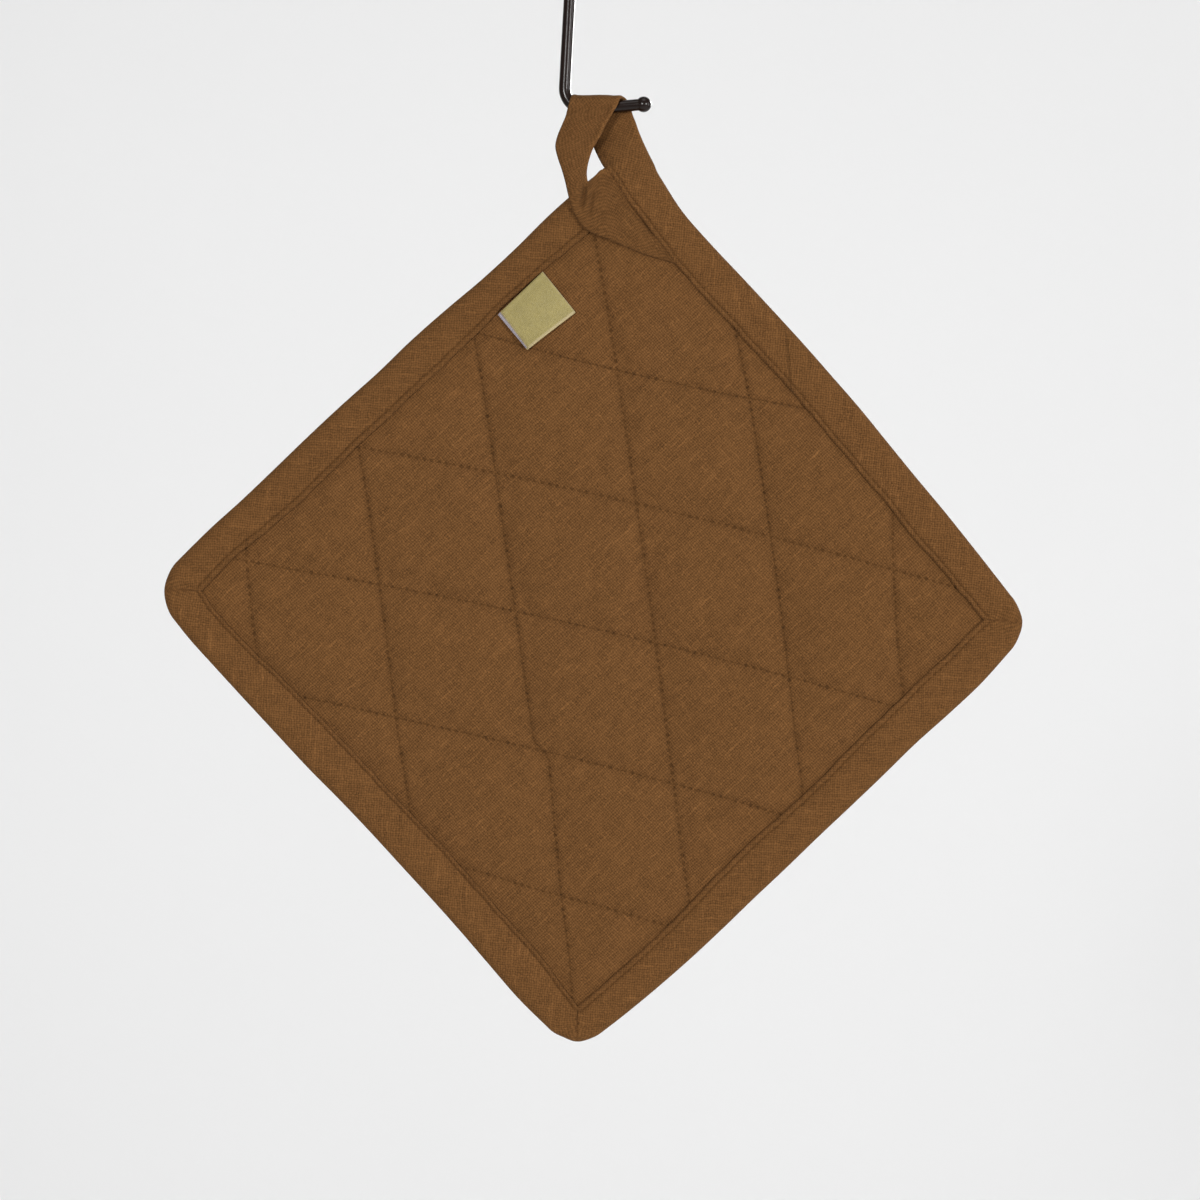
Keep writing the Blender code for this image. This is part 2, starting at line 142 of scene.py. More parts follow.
# How uneven the binding is: its inner edge wanders from its drawn line, the stitches gather
# it, and its faces ripple, some ripples slanted along its threads.
EDGE_WANDER = 0.22
EDGE_WANDER_RUN = 4.0
EDGE_WANDER_REACH = 4.0
EDGE_WANDER_ROW = 2.0
LIP_GATHER_HIGH = 0.17
LIP_GATHER_PITCH = 2.4
LIP_GATHER_AT = 2.6
LIP_GATHER_WIDE = 1.5
LIP_GATHER_APART = 3.0
Ripple = namedtuple("Ripple", "name high long wide slant face_apart own_noise")
RIPPLES = (
    Ripple("soft", 0.15, 17.0, 8.0, 0.0, 20.0, 5),
    Ripple("drag", 0.12, 4.2, 16.0, 0.9, 11.0, 6),
    Ripple("fine", 0.05, 1.7, 5.0, 0.9, 13.0, 7),
)
RIPPLES_START_OVER = 2.5
RIPPLES_END_OVER = 1.6

# Where the strip's start lies under the loop, and where the loop's tail lies under it.
UNDER_SIDE = "upper_left"
UNDER_LOOP = (-5.0, -3.7, -2.4, -1.2)
UNDER_PRESS = 0.62
UNDER_RUN = 6.0
LOOP_SIDE = "upper_right"
TAIL_TUCKED = 30.0
TAIL_LIFT = 0.9
TAIL_LIFT_RUN = 9.0
TAIL_LIFT_REACH = 8.0
LIFT_HELD = 1.4
LIFT_FADES_OVER = 2.0

# Sewing: a stitch's pitch, length and thickness, how far it sinks in, and how uneven it is.
# Its ends are drawn out twice, each time narrower and by a share of its length.
QUILT_PITCH = 2.6
QUILT_STITCHES_EACH_WAY = 70
QUILT_STARTS_INSIDE = 0.8
EDGE_PITCH = 2.6
STITCH_LONG = 1.75
STITCH_THICK = 0.42
STITCH_SIDES = 8
STITCH_BODY = 0.55
STITCH_ENDS = ((0.8, 0.14), (0.45, 0.085))
STITCH_SUNK = 0.06
STITCH_DIP = 0.10
STITCH_TURN = 0.06
STITCH_STRETCH = 0.07
STITCH_BEND = 0.16
EDGE_SUNK = 0.02
PROBE_FROM = 30.0
QUILT_SEED = 3
EDGE_SEED = 4

# The loop: the same strip, closed.
BAND_HALF = 0.65
BAND_EDGE = 0.9
BAND_SLIT = 0.05
BAND_PLAIN_WIDTH = 12.0
BAND_LEAST_SCALE = 0.2
BAND_FINE = 9
STATIONS_BACK = 5
WRAP_WIDTH = 16.8

# The hook.
WIRE_RADIUS = 2.0
WIRE_SIDES = 32
BALL_RADIUS = 2.7
BALL_SEGMENTS = 40
BALL_RINGS = 24
PLUMB_TOP = 4.5
STEM_LEAN = math.radians(3.1)
BEND_MIDDLE = Vector((5.15, 0.0, -42.5))
BEND_RADIUS = 7.2
BEND_STEPS = 40
BAR_RISE = math.radians(5.0)
BALL_X = 25.1
SHARP_OVER = math.radians(40.0)

# The label: a folded ribbon, bare.
TAB_THICK = 0.3
TAB_LAYERS_APART = 0.5
TAB_GAP = 0.35
TAB_STEPS = 20
TAB_TURNS = 8
TAB_CURL = 0.35
TAB_PEEK = 1.15
TAB_PEEK_FADES = 0.6
TAB_WIDE = 20.4
TAB_LONG = 15.6

# Where the binding's seam turns, and how far off the outer edge is a quarter, a half and
# three quarters round the corner.
Corner = namedtuple("Corner", "name x z reach")
CORNERS = (
    Corner("left", -136.3, 4.6, (12.85, 12.95, 13.1)),
    Corner("bottom", -6.8, -138.6, (11.65, 12.1, 11.9)),
    Corner("right", 132.8, -5.3, (13.75, 13.7, 13.0)),
    Corner("top", 10.3, 139.3, (17.8, 14.1, 13.0)),
)

# How far the seam and the outer edge stand off the straight line from corner to corner,
# and how far outside the seam the stitches are.
BOW_AT = (0.0, 0.05, 0.12, 0.2, 0.28, 0.36, 0.44, 0.52, 0.6, 0.68, 0.76, 0.84, 0.92, 1.0)
Side = namedtuple("Side", "name stitched seam edge")
SIDES = (
    Side(
        "lower_left",
        1.5,
        (0.0, 0.9, 0.9, -0.4, -1.0, -1.4, -1.8, -2.1, -2.6, -2.7, -2.5, -2.4, -1.8, 0.0),
        (13.7, 14.3, 14.3, 14.2, 14.0, 13.8, 13.1, 12.7, 12.6, 12.5, 12.6, 13.0, 13.3, 12.4),
    ),
    Side(
        "lower_right",
        1.95,
        (0.0, 0.4, 1.0, 1.3, 0.9, 0.2, 0.2, 0.8, 0.9, 0.4, 0.3, 0.0, 0.2, 0.0),
        (12.2, 13.2, 14.2, 14.9, 15.1, 15.0, 15.1, 15.0, 15.1, 15.1, 14.9, 15.4, 15.5, 14.3),
    ),
    Side(
        "upper_right",
        1.75,
        (0.0, 0.1, 0.2, 0.0, 0.5, 0.4, 0.4, 0.6, 0.2, -0.4, -1.1, -1.6, -0.9, 0.0),
        (12.8, 13.2, 13.7, 14.1, 14.2, 14.5, 14.8, 14.6, 14.3, 13.7, 13.0, 12.2, 12.0, 14.0),
    ),
    Side(
        "upper_left",
        2.0,
        (0.0, 0.5, 1.0, 1.5, 1.7, 1.0, 0.6, 0.5, 0.4, 0.1, -0.5, -0.1, 0.8, 0.0),
        (13.6, 14.2, 14.4, 13.8, 13.8, 14.5, 14.8, 14.4, 14.6, 14.5, 14.1, 13.8, 13.9, 13.3),
    ),
)

# The quilting lines: where each crosses the pad's middle line, how it leans and bows, and
# a sideways jog below a height.  The first and last rows lie off the pad.
Line = namedtuple("Line", "name at lean bow jog jog_below")
STEEP_LINES = (
    Line("off_left", -164.0, -0.112, 0.0, 0.0, 0.0),
    Line("steep_1", -118.6, -0.112, 0.0, 0.0, 0.0),
    Line("steep_2", -74.1, -0.130, -0.0003, 0.0, 0.0),
    Line("steep_3", -28.6, -0.143, 0.0, 4.6, -46.0),
    Line("steep_4", 18.2, -0.135, -0.0001, 0.0, 0.0),
    Line("steep_5", 62.8, -0.130, -0.0003, 0.0, 0.0),
    Line("steep_6", 102.4, -0.060, 0.001, 0.0, 0.0),
    Line("off_right", 148.0, -0.060, 0.0, 0.0, 0.0),
)
LEVEL_LINES = (
    Line("off_bottom", -150.0, -0.250, -0.0004, 0.0, 0.0),
    Line("level_1", -103.6, -0.250, -0.0004, 0.0, 0.0),
    Line("level_2", -55.0, -0.250, -0.0003, 0.0, 0.0),
    Line("level_3", -8.6, -0.228, -0.0003, 0.0, 0.0),
    Line("level_4", 37.7, -0.223, -0.0003, 0.0, 0.0),
    Line("level_5", 82.2, -0.240, 0.0004, 0.0, 0.0),
    Line("level_6", 128.0, -0.240, 0.0004, 0.0, 0.0),
    Line("off_top", 174.0, -0.240, 0.0004, 0.0, 0.0),
)
JOG_RUN = 8.0
JOG_FADE = 85.0

# The strip past the pad's top corner: its inner and outer edge, half its thickness, how far
# it is still wrapped round the pad, and how far its middle is rolled out of its plane.
Rung = namedtuple("Rung", "name inner_x inner_z inner_y outer_x outer_z outer_y half wrapped roll")
BACK_RUNGS = (
    Rung("over_end", 16.6, -75.6, 1.5, 28.7, -68.3, 1.5, 3.0, 1.0, 0.0),
    Rung("past_end", 13.4, -70.9, 1.6, 26.8, -64.5, 1.6, 2.9, 1.0, 0.0),
    Rung("free", 11.2, -68.2, 2.2, 25.3, -61.3, 1.8, 2.1, 0.55, -0.2),
    Rung("back_low", 9.5, -65.0, 3.0, 23.7, -57.5, 2.3, 1.1, 0.1, -0.6),
    Rung("back_mid", 8.0, -61.4, 3.7, 22.5, -54.0, 2.8, 0.75, 0.0, -0.6),
    Rung("back_high", 6.8, -57.1, 3.6, 21.5, -51.5, 3.0, 0.65, 0.0, -0.4),
    Rung("behind_bar", 6.0, -53.4, 3.5, 21.0, -49.7, 2.9, 0.65, 0.0, 0.0),
)
Wrap = namedtuple("Wrap", "angle middle_x left_reach right_reach")
WRAPS = (
    Wrap(0.0, 12.5, 3.5, 2.8),
    Wrap(0.25 * math.pi, 11.2, 4.3, 2.95),
    Wrap(0.5 * math.pi, 9.45, 4.9, 3.1),
    Wrap(0.75 * math.pi, 8.5, 4.5, 3.0),
    Wrap(math.pi, 7.65, 3.8, 2.8),
)
FRONT_RUNGS = (
    Rung("front_top", -1.4, -52.7, -4.0, 13.9, -52.3, -3.0, 0.65, 0.0, 0.1),
    Rung("front_high", -2.6, -55.6, -4.5, 12.2, -55.3, -3.2, 0.65, 0.0, 0.3),
    Rung("front_mid", -4.1, -59.4, -5.1, 10.4, -59.1, -3.3, 0.65, 0.0, 0.5),
    Rung("front_bulge", -4.8, -63.2, -5.6, 7.9, -63.2, -3.0, 0.65, 0.0, 0.9),
    Rung("front_low", -3.9, -67.3, -5.6, 6.3, -67.5, -2.2, 0.65, 0.0, 1.3),
    Rung("neck", -2.6, -71.2, -5.2, 5.55, -71.4, -1.9, 0.65, 0.0, 1.5),
    Rung("corner", -1.5, -75.2, -4.4, 5.8, -74.3, -1.9, 0.65, 0.0, 1.3),
    Rung("over_edge", -0.5, -79.5, -3.6, 6.3, -74.6, -1.6, 0.65, 0.0, 1.0),
    Rung("turn", 0.8, -84.0, -2.9, 6.9, -74.2, -1.4, 0.65, 0.0, 0.7),
    Rung("turn_low", 3.2, -88.6, -2.4, 7.7, -73.3, -1.2, 0.65, 0.0, 0.5),
    Rung("tail_in", 6.7, -91.7, -2.0, 8.8, -72.2, -1.0, 0.6, 0.0, 0.4),
    Rung("tail_mid", 12.2, -94.0, -1.8, 10.8, -70.5, -0.9, 0.55, 0.0, 0.3),
    Rung("tail_wide", 18.4, -96.7, -1.8, 15.5, -70.6, -0.7, 0.5, 0.0, 0.2),
    Rung("tail_out", 25.6, -99.5, -1.5, 21.5, -73.6, -0.6, 0.45, 0.0, 0.1),
    Rung("tail_end", 34.5, -102.1, -0.8, 29.5, -79.5, -0.6, 0.4, 0.0, 0.0),
    Rung("tail_under", 39.5, -103.5, -0.4, 35.5, -86.5, -0.4, 0.35, 0.0, 0.0),
)

# Creases pressed into the loop's front, most where it turns into its tail.
Crease = namedtuple("Crease", "name depth wide open_end route")
CREASES = (
    Crease("pleat", 1.1, 0.75, 0.4, ((5.2, -74.6), (4.7, -78.0), (4.1, -81.6), (3.9, -84.4))),
    Crease("ridge", -0.5, 0.8, 0.0, ((6.3, -76.0), (6.0, -80.5), (5.9, -86.5))),
    Crease("second_pleat", 0.7, 0.7, 0.0, ((7.6, -77.5), (7.3, -80.5), (6.4, -85.0), (7.4, -88.5))),
    Crease("chevron", -0.3, 0.6, 0.0, ((1.5, -78.2), (2.9, -76.6), (4.2, -75.4))),
    Crease("sewn_dent", 0.45, 0.9, 0.3, ((7.4, -88.6), (10.5, -86.7), (13.2, -84.6), (15.9, -81.7))),
    Crease(
        "beside_seam",
        1.0,
        1.4,
        0.0,
        ((12.6, -76.7), (17.1, -81.0), (21.9, -84.6), (27.0, -89.6), (29.4, -94.0)),
    ),
    Crease(
        "lit_rim",
        -0.5,
        0.9,
        0.5,
        ((17.3, -46.6), (14.6, -50.8), (12.0, -54.6), (10.0, -58.6), (8.6, -61.4)),
    ),
    Crease(
        "rim_dent",
        0.35,
        0.8,
        0.3,
        ((14.9, -47.6), (12.6, -51.0), (10.2, -54.6), (8.2, -58.6), (6.8, -62.2)),
    ),
    Crease("left_dent", 0.35, 0.9, 0.0, ((1.2, -49.0), (0.4, -52.0), (-1.2, -56.0), (-2.2, -60.5))),
    Crease("top_dent", 0.4, 1.0, 0.0, ((5.4, -48.0), (6.0, -51.0), (4.6, -55.0))),
)
CREASE_STARTS_OVER = 0.3
CREASE_ENDS_OVER = 0.2
CREASED_RUNGS = len(FRONT_RUNGS) + len(WRAPS) - 1

# The label's corners on the cloth, from the pad's middle.
Spot = namedtuple("Spot", "name x z lift")
TAB_SPOTS = (
    Spot("seam_low", -33.4, 100.4, 1.1),
    Spot("seam_high", -18.8, 114.4, 1.0),
    Spot("free_high", -7.7, 100.5, 0.5),
    Spot("free_low", -24.0, 88.0, 1.0),
)


# ------------------------------------------------------------------ curves and noise


def smooth_through(values, places, at):
    """Read a Catmull-Rom curve through values that are given at rising places."""
    values, places, at = (np.asarray(item, float) for item in (values, places, at))
    last = len(places) - 1
    step = np.clip(np.searchsorted(places, at, side="right") - 1, 0, last - 1)
    index = np.arange(last + 1)
    low, high = np.maximum(index - 1, 0), np.minimum(index + 1, last)
    slope = (values[high] - values[low]) / (places[high] - places[low])
    span = places[step + 1] - places[step]
    ratio = (at - places[step]) / span
    square, cube = ratio**2, ratio**3
    return (
        (2 * cube - 3 * square + 1) * values[step]
        + (cube - 2 * square + ratio) * slope[step] * span
        + (3 * square - 2 * cube) * values[step + 1]
        + (cube - square) * slope[step + 1] * span
    )


def ease(ratio):
    """A smooth step from 0 to 1."""
    ratio = np.clip(ratio, 0.0, 1.0)
    return ratio * ratio * (3.0 - 2.0 * ratio)


def hump(distance, wide):
    """1 at no distance, falling smoothly to 0 at about twice the width."""
    return np.exp(-((distance / wide) ** 2))


NOISE_SIDE = 64
NOISE_STEP = (7.3, 3.1)
NOISE_TABLE = np.random.default_rng(SEED).random((NOISE_SIDE, NOISE_SIDE)) * 2.0 - 1.0


def waves(u, v, shift):
    """Smooth noise from -1 to 1 over two coordinates, one lump to a unit."""
    u = np.asarray(u, float) + NOISE_STEP[0] * shift
    v = np.asarray(v, float) + NOISE_STEP[1] * shift
    low_u, low_v = np.floor(u).astype(int), np.floor(v).astype(int)
    part_u, part_v = ease(u - low_u), ease(v - low_v)

    def corner(step_u, step_v):
        return NOISE_TABLE[(low_u + step_u) % NOISE_SIDE, (low_v + step_v) % NOISE_SIDE]

    near = corner(0, 0) * (1 - part_u) + corner(1, 0) * part_u
    far = corner(0, 1) * (1 - part_u) + corner(1, 1) * part_u
    return near * (1 - part_v) + far * part_v


# ------------------------------------------------------------------ the pad's outline


def in_plane(points):
    """Points of the frame as x and z from the pad's middle."""
    return points[..., (0, 2)] - PAD_MIDDLE[[0, 2]]


def corner_point(index):
    """A corner of the seam, in x and z from the pad's middle."""
    corner = CORNERS[index % len(CORNERS)]
    return np.array((corner.x, corner.z))


def side_frame(index):
    """A side's start, its direction, its outward normal and its length, in x and z."""
    start = corner_point(index)
    run = corner_point(index + 1) - start
    length = float(np.hypot(*run))
    along = run / length
    return start, along, np.array((along[1], -along[0])), length


def side_reading(index, points):
    """How far along a side points are, as a ratio, and how far outside its straight line."""
    start, along, outward, length = side_frame(index)
    offset = points - start
    return np.clip(offset @ along / length, 0.0, 1.0), offset @ outward


def inside_seam(points):
    """How far inside the binding's seam points of the pad are."""
    depth = np.full(len(points), np.inf)
    for index, side in enumerate(SIDES):
        ratio, beyond = side_reading(index, points)
        depth = np.minimum(depth, smooth_through(side.seam, BOW_AT, ratio) - beyond)
    return depth


def seam_bow(points):
    """How far the bows of the seams near them shift points of the flat pad."""
    shift = np.zeros_like(points)
    for index, side in enumerate(SIDES):
        ratio, beyond = side_reading(index, points)
        bow = smooth_through(side.seam, BOW_AT, ratio) * hump(beyond, BOW_FADES_OVER)
        shift += bow[:, None] * side_frame(index)[2]
    return shift


def before_bow(points):
    """Where points of the pad were before the bows shifted them."""
    flat = points.copy()
    for _ in range(BOW_ROUNDS):
        flat = points - seam_bow(flat)
    return flat


# ------------------------------------------------------------------ the quilting lines


def line_value(line, along):
    """Where one quilting line is, at places along it."""
    below = line.jog_below - along
    jog = line.jog * ease(below / JOG_RUN) * np.clip(1.0 - below / JOG_FADE, 0.0, 1.0)
    return line.at + line.lean * along + line.bow * along**2 + jog


def row_value(lines, row, along):
    """Where a row of the cloth is; between two lines the row is a fraction."""
    low = np.clip(np.floor(row).astype(int), 0, len(lines) - 2)
    table = np.array([line_value(line, along) for line in lines])
    pick = np.arange(len(row))
    first, second = table[low, pick], table[low + 1, pick]
    return first + (second - first) * (row - low)


def quilt_places(steep_row, level_row):
    """The places where steep and level rows of the cloth cross."""
    x, z = np.zeros(len(steep_row)), np.zeros(len(steep_row))
    for _ in range(CROSSING_ROUNDS):
        x = row_value(STEEP_LINES, steep_row, z)
        z = row_value(LEVEL_LINES, level_row, x)
    return np.stack((x, z), 1)


def off_lines(lines, across, along):
    """How far points are from the nearest line of one direction, and which line it is."""
    gaps = np.array([across - line_value(line, along) for line in lines])
    nearest = np.abs(gaps).argmin(0)
    lean = np.array([line.lean for line in lines])[nearest]
    pick = np.arange(len(across))
    return gaps[nearest, pick] / np.sqrt(1.0 + lean**2), nearest


def dome(distance, spread):
    """A rise from 0 at a seam to 1 far from it, steep at the seam."""
    return 1.0 - np.exp(-np.maximum(distance, 0.0) / spread)


def pad_half(flat):
    """Half of the filled pad's thickness at points of the flat pad."""
    depth = inside_seam(flat + seam_bow(flat)) - CREASE_INSIDE_SEAM
    off_steep, _ = off_lines(STEEP_LINES, flat[:, 0], flat[:, 1])
    off_level, _ = off_lines(LEVEL_LINES, flat[:, 1], flat[:, 0])
    puff = dome(np.abs(off_steep), PUFF_SPREAD) * dome(np.abs(off_level), PUFF_SPREAD)
    puff = puff * dome(depth, EDGE_SPREAD)
    return RIM_HALF + GROOVE_RISE * dome(depth, GROOVE_SPREAD) + PUFF_RISE * puff


# ------------------------------------------------------------------ meshes


def new_piece(name, points, faces, place=(0.0, 0.0, 0.0)):
    """A mesh object from points in millimetres; its place goes into its mesh."""
    data = bpy.data.meshes.new(name)
    data.from_pydata(((np.asarray(points) + place) * MM).tolist(), [], faces)
    data.update()
    piece = bpy.data.objects.new(name, data)
    bpy.context.scene.collection.objects.link(piece)
    return piece


def mesh_points(piece):
    """A mesh's points, in millimetres."""
    flat = np.empty(len(piece.data.vertices) * 3, np.float32)
    piece.data.vertices.foreach_get("co", flat)
    return flat.reshape(-1, 3).astype(float) / MM


def set_points(piece, points):
    """Move a mesh's points to places in millimetres."""
    piece.data.vertices.foreach_set("co", (points * MM).astype(np.float32).ravel())
    piece.data.update()


def deselect_all():
    for other in bpy.context.selected_objects:
        other.select_set(False)


def only(piece):
    """Select one object alone and make it the active one."""
    deselect_all()
    piece.select_set(True)
    bpy.context.view_layer.objects.active = piece


def apply_modifier(piece, modifier):
    only(piece)
    bpy.ops.object.modifier_apply(modifier=modifier.name)


def subdivide(piece):
    """Apply one level of Subdivision Surface to a piece."""
    smooth = piece.modifiers.new("smooth", "SUBSURF")
    smooth.levels = 1
    smooth.render_levels = 1
    apply_modifier(piece, smooth)


def face_corners(piece):
    """For each face corner, its point's index and its face's index."""
    corners = np.empty(len(piece.data.loops), np.int32)
    piece.data.loops.foreach_get("vertex_index", corners)
    totals = np.empty(len(piece.data.polygons), np.int32)
    piece.data.polygons.foreach_get("loop_total", totals)
    return corners, np.repeat(np.arange(len(totals)), totals)


def face_middles(piece):
    """The middles of a mesh's faces, in millimetres."""
    middles = np.empty(len(piece.data.polygons) * 3, np.float32)
    piece.data.polygons.foreach_get("center", middles)
    return middles.reshape(-1, 3).astype(float) / MM


def add_map(piece, name, coordinates):
    """Give a piece a UV map, one pair of millimetres to a face corner."""
    layer = piece.data.uv_layers.new(name=name)
    layer.data.foreach_set("uv", coordinates.astype(np.float32).ravel())


def look(piece, material):
    """Give a piece its one material, and shade it smooth."""
    piece.data.materials.clear()
    piece.data.materials.append(material)
    piece.data.shade_smooth()


# ------------------------------------------------------------------ the quilted pad


def crowded_rows(count):
    """Rows of the cloth over all its cells, closer together near the quilting lines."""
    even = np.arange(count * ROWS_PER_CELL + 1) / ROWS_PER_CELL
    return even - ROWS_CROWD * np.sin(2.0 * math.pi * even) / (2.0 * math.pi)


def flat_quilt():
    """The pad's flat cloth, its rows along the quilting lines, cut to the pad's outline."""
    steep = crowded_rows(len(STEEP_LINES) - 1)
    level = crowded_rows(len(LEVEL_LINES) - 1)
    steep_row, level_row = (grid.ravel() for grid in np.meshgrid(steep, level, indexing="ij"))
    places = quilt_places(steep_row, level_row)
    index = np.arange(len(places)).reshape(len(steep), len(level))
    faces = np.stack((index[:-1, :-1], index[1:, :-1], index[1:, 1:], index[:-1, 1:]), -1)
    data = bpy.data.meshes.new("flat_quilt")
    points = np.stack((places[:, 0], np.zeros(len(places)), places[:, 1]), 1)
    data.from_pydata(points.tolist(), [], faces.reshape(-1, 4).tolist())
    mesh = bmesh.new()
    mesh.from_mesh(data)
    bpy.data.meshes.remove(data)
    for index in range(len(CORNERS)):
        start, _, outward, _ = side_frame(index)
        last_outward = side_frame(index - 1)[2]
        diagonal = (outward + last_outward) / np.hypot(*(outward + last_outward))
        for normal, beyond in ((outward, RIM_BEYOND_SEAM), (diagonal, RIM_BEYOND_CORNER)):
            touch = start + normal * beyond
            bmesh.ops.bisect_plane(
                mesh,
                geom=mesh.verts[:] + mesh.edges[:] + mesh.faces[:],
                plane_co=(touch[0], 0.0, touch[1]),
                plane_no=(normal[0], 0.0, normal[1]),
                clear_outer=True,
                dist=CUT_TOUCH,
            )
    bmesh.ops.remove_doubles(mesh, verts=mesh.verts, dist=WELD)
    mesh.verts.index_update()
    flat = np.array([(vert.co.x, vert.co.z) for vert in mesh.verts])
    faces = [[vert.index for vert in face.verts] for face in mesh.faces]
    rim = [
        [edge.link_loops[0].vert.index, edge.link_loops[0].link_loop_next.vert.index]
        for edge in mesh.edges
        if edge.is_boundary
    ]
    mesh.free()
    return flat, faces, rim


def swell(piece, sewn):
    """Fill the cloth between its sewn points by simulation, and return its points."""
    group = piece.vertex_groups.new(name="sewn")
    group.add(np.flatnonzero(sewn).tolist(), 1.0, "REPLACE")
    cloth = piece.modifiers.new("filling", "CLOTH")
    settings = cloth.settings
    settings.quality = SWELL_QUALITY
    settings.mass = SWELL_MASS
    settings.tension_stiffness = SWELL_STIFFNESS
    settings.compression_stiffness = SWELL_STIFFNESS
    settings.shear_stiffness = SWELL_SHEAR
    settings.bending_stiffness = SWELL_BENDING
    settings.vertex_group_mass = group.name
    settings.shrink_min = SWELL_SLACK
    settings.use_pressure = True
    settings.uniform_pressure_force = SWELL_PRESSURE
    settings.effector_weights.gravity = 0.0
    cloth.collision_settings.use_collision = False
    cloth.collision_settings.use_self_collision = False
    cloth.point_cache.frame_start = 1
    cloth.point_cache.frame_end = SWELL_FRAMES
    scene = bpy.context.scene
    for step in range(1, SWELL_FRAMES + 1):
        scene.frame_set(step)
    evaluated = piece.evaluated_get(bpy.context.evaluated_depsgraph_get())
    points = np.empty(len(piece.data.vertices) * 3, np.float32)
    evaluated.data.vertices.foreach_get("co", points)
    piece.modifiers.remove(cloth)
    piece.vertex_groups.clear()
    scene.frame_set(1)
    return points.reshape(-1, 3).astype(float) / MM


def pucker(points, front):
    """Small gathers that the stitches pull into the cloth beside each quilting line."""
    flat = before_bow(in_plane(points))
    off_steep, steep = off_lines(STEEP_LINES, flat[:, 0], flat[:, 1])
    off_level, level = off_lines(LEVEL_LINES, flat[:, 1], flat[:, 0])
    rise = SWAY_HIGH * waves(flat[:, 0] / SWAY_PITCH, flat[:, 1] / SWAY_PITCH, 3 + front)
    for off, along, row in ((off_steep, flat[:, 1], steep), (off_level, flat[:, 0], level)):
        side = np.sign(off) * SIDES_APART + row * LINES_APART + front * FACES_APART
        for pull in PULLS:
            row_place, side_place = along / pull.pitch + off * pull.slant, side + off * pull.lean
            lumps = waves(row_place, side_place, pull.own_noise)
            rise += pull.high * lumps * hump(np.abs(off) - pull.off, pull.wide)
    return rise * ease(inside_seam(in_plane(points)) / PUCKERS_START_OVER)


def stitch_maps(piece):
    """UV maps that run along and across the nearest steep and level quilting line."""
    corners, owners = face_corners(piece)
    flat = before_bow(in_plane(mesh_points(piece)))
    middles = before_bow(in_plane(face_middles(piece)))
    for name, lines, across, along in (
        ("steep_stitches", STEEP_LINES, 0, 1),
        ("level_stitches", LEVEL_LINES, 1, 0),
    ):
        _, nearest = off_lines(lines, middles[:, across], middles[:, along])
        row = nearest[owners]
        table = np.array([line_value(line, flat[:, along]) for line in lines])
        lean = np.array([line.lean for line in lines])[row]
        off = (flat[corners, across] - table[row, corners]) / np.sqrt(1.0 + lean**2)
        run = flat[corners, along] * np.sqrt(1.0 + lean**2)
        add_map(piece, name, np.stack((run + row * LINE_MAPS_APART, off), 1))
    gap = inside_seam(flat + seam_bow(flat))[corners]
    add_map(piece, "seam_gap", np.stack((gap, np.zeros_like(gap)), 1))


def make_pad(material):
    """The quilted pad: two faces of linen over its filling, sewn along the lines."""
    flat, faces, rim = flat_quilt()
    count = len(flat)
    half = pad_half(flat)
    off_steep, _ = off_lines(STEEP_LINES, flat[:, 0], flat[:, 1])
    off_level, _ = off_lines(LEVEL_LINES, flat[:, 1], flat[:, 0])
    shifted = flat + seam_bow(flat)
    depth = inside_seam(shifted)
    sewn = np.minimum(np.abs(off_steep), np.abs(off_level)) < SEWN_WITHIN
    sewn |= depth < RIM_SEWN_WITHIN
    front = np.stack((shifted[:, 0], -half, shifted[:, 1]), 1)
    back = np.stack((shifted[:, 0], half, shifted[:, 1]), 1)
    skin = list(faces)
    skin += [[corner + count for corner in reversed(face)] for face in faces]
    skin += [[first + count, second + count, second, first] for first, second in rim]
    piece = new_piece("pad_cloth", np.vstack((front, back)), skin, PAD_MIDDLE)
    start = mesh_points(piece)
    moved = swell(piece, np.concatenate((sewn, sewn))) - start
    length = np.linalg.norm(moved, axis=1)
    held = SWELL_CAP * np.tanh(length / SWELL_CAP) / np.maximum(length, 1e-9)
    set_points(piece, start + moved * held[:, None])
    subdivide(piece)
    points = mesh_points(piece)
    facing = np.where(points[:, 1] < PAD_MIDDLE[1], -1.0, 1.0)
    points[:, 1] += facing * pucker(points, (facing < 0).astype(float))
    set_points(piece, points)
    stitch_maps(piece)
    look(piece, material)
    return piece


# ------------------------------------------------------------------ the binding and its loop


Station = namedtuple(
    "Station", "inner across face width half wrapped dip lift press hole lip side run roll"
)
Thread = namedtuple("Thread", "middle along up")


def in_frame(flat):
    """A place in the pad's middle plane, as a point of the frame."""
    return PAD_MIDDLE + (flat[0], 0.0, flat[1])


def upright(flat):
    """A direction in the pad's plane, in three coordinates."""
    return np.array((flat[0], 0.0, flat[1]))


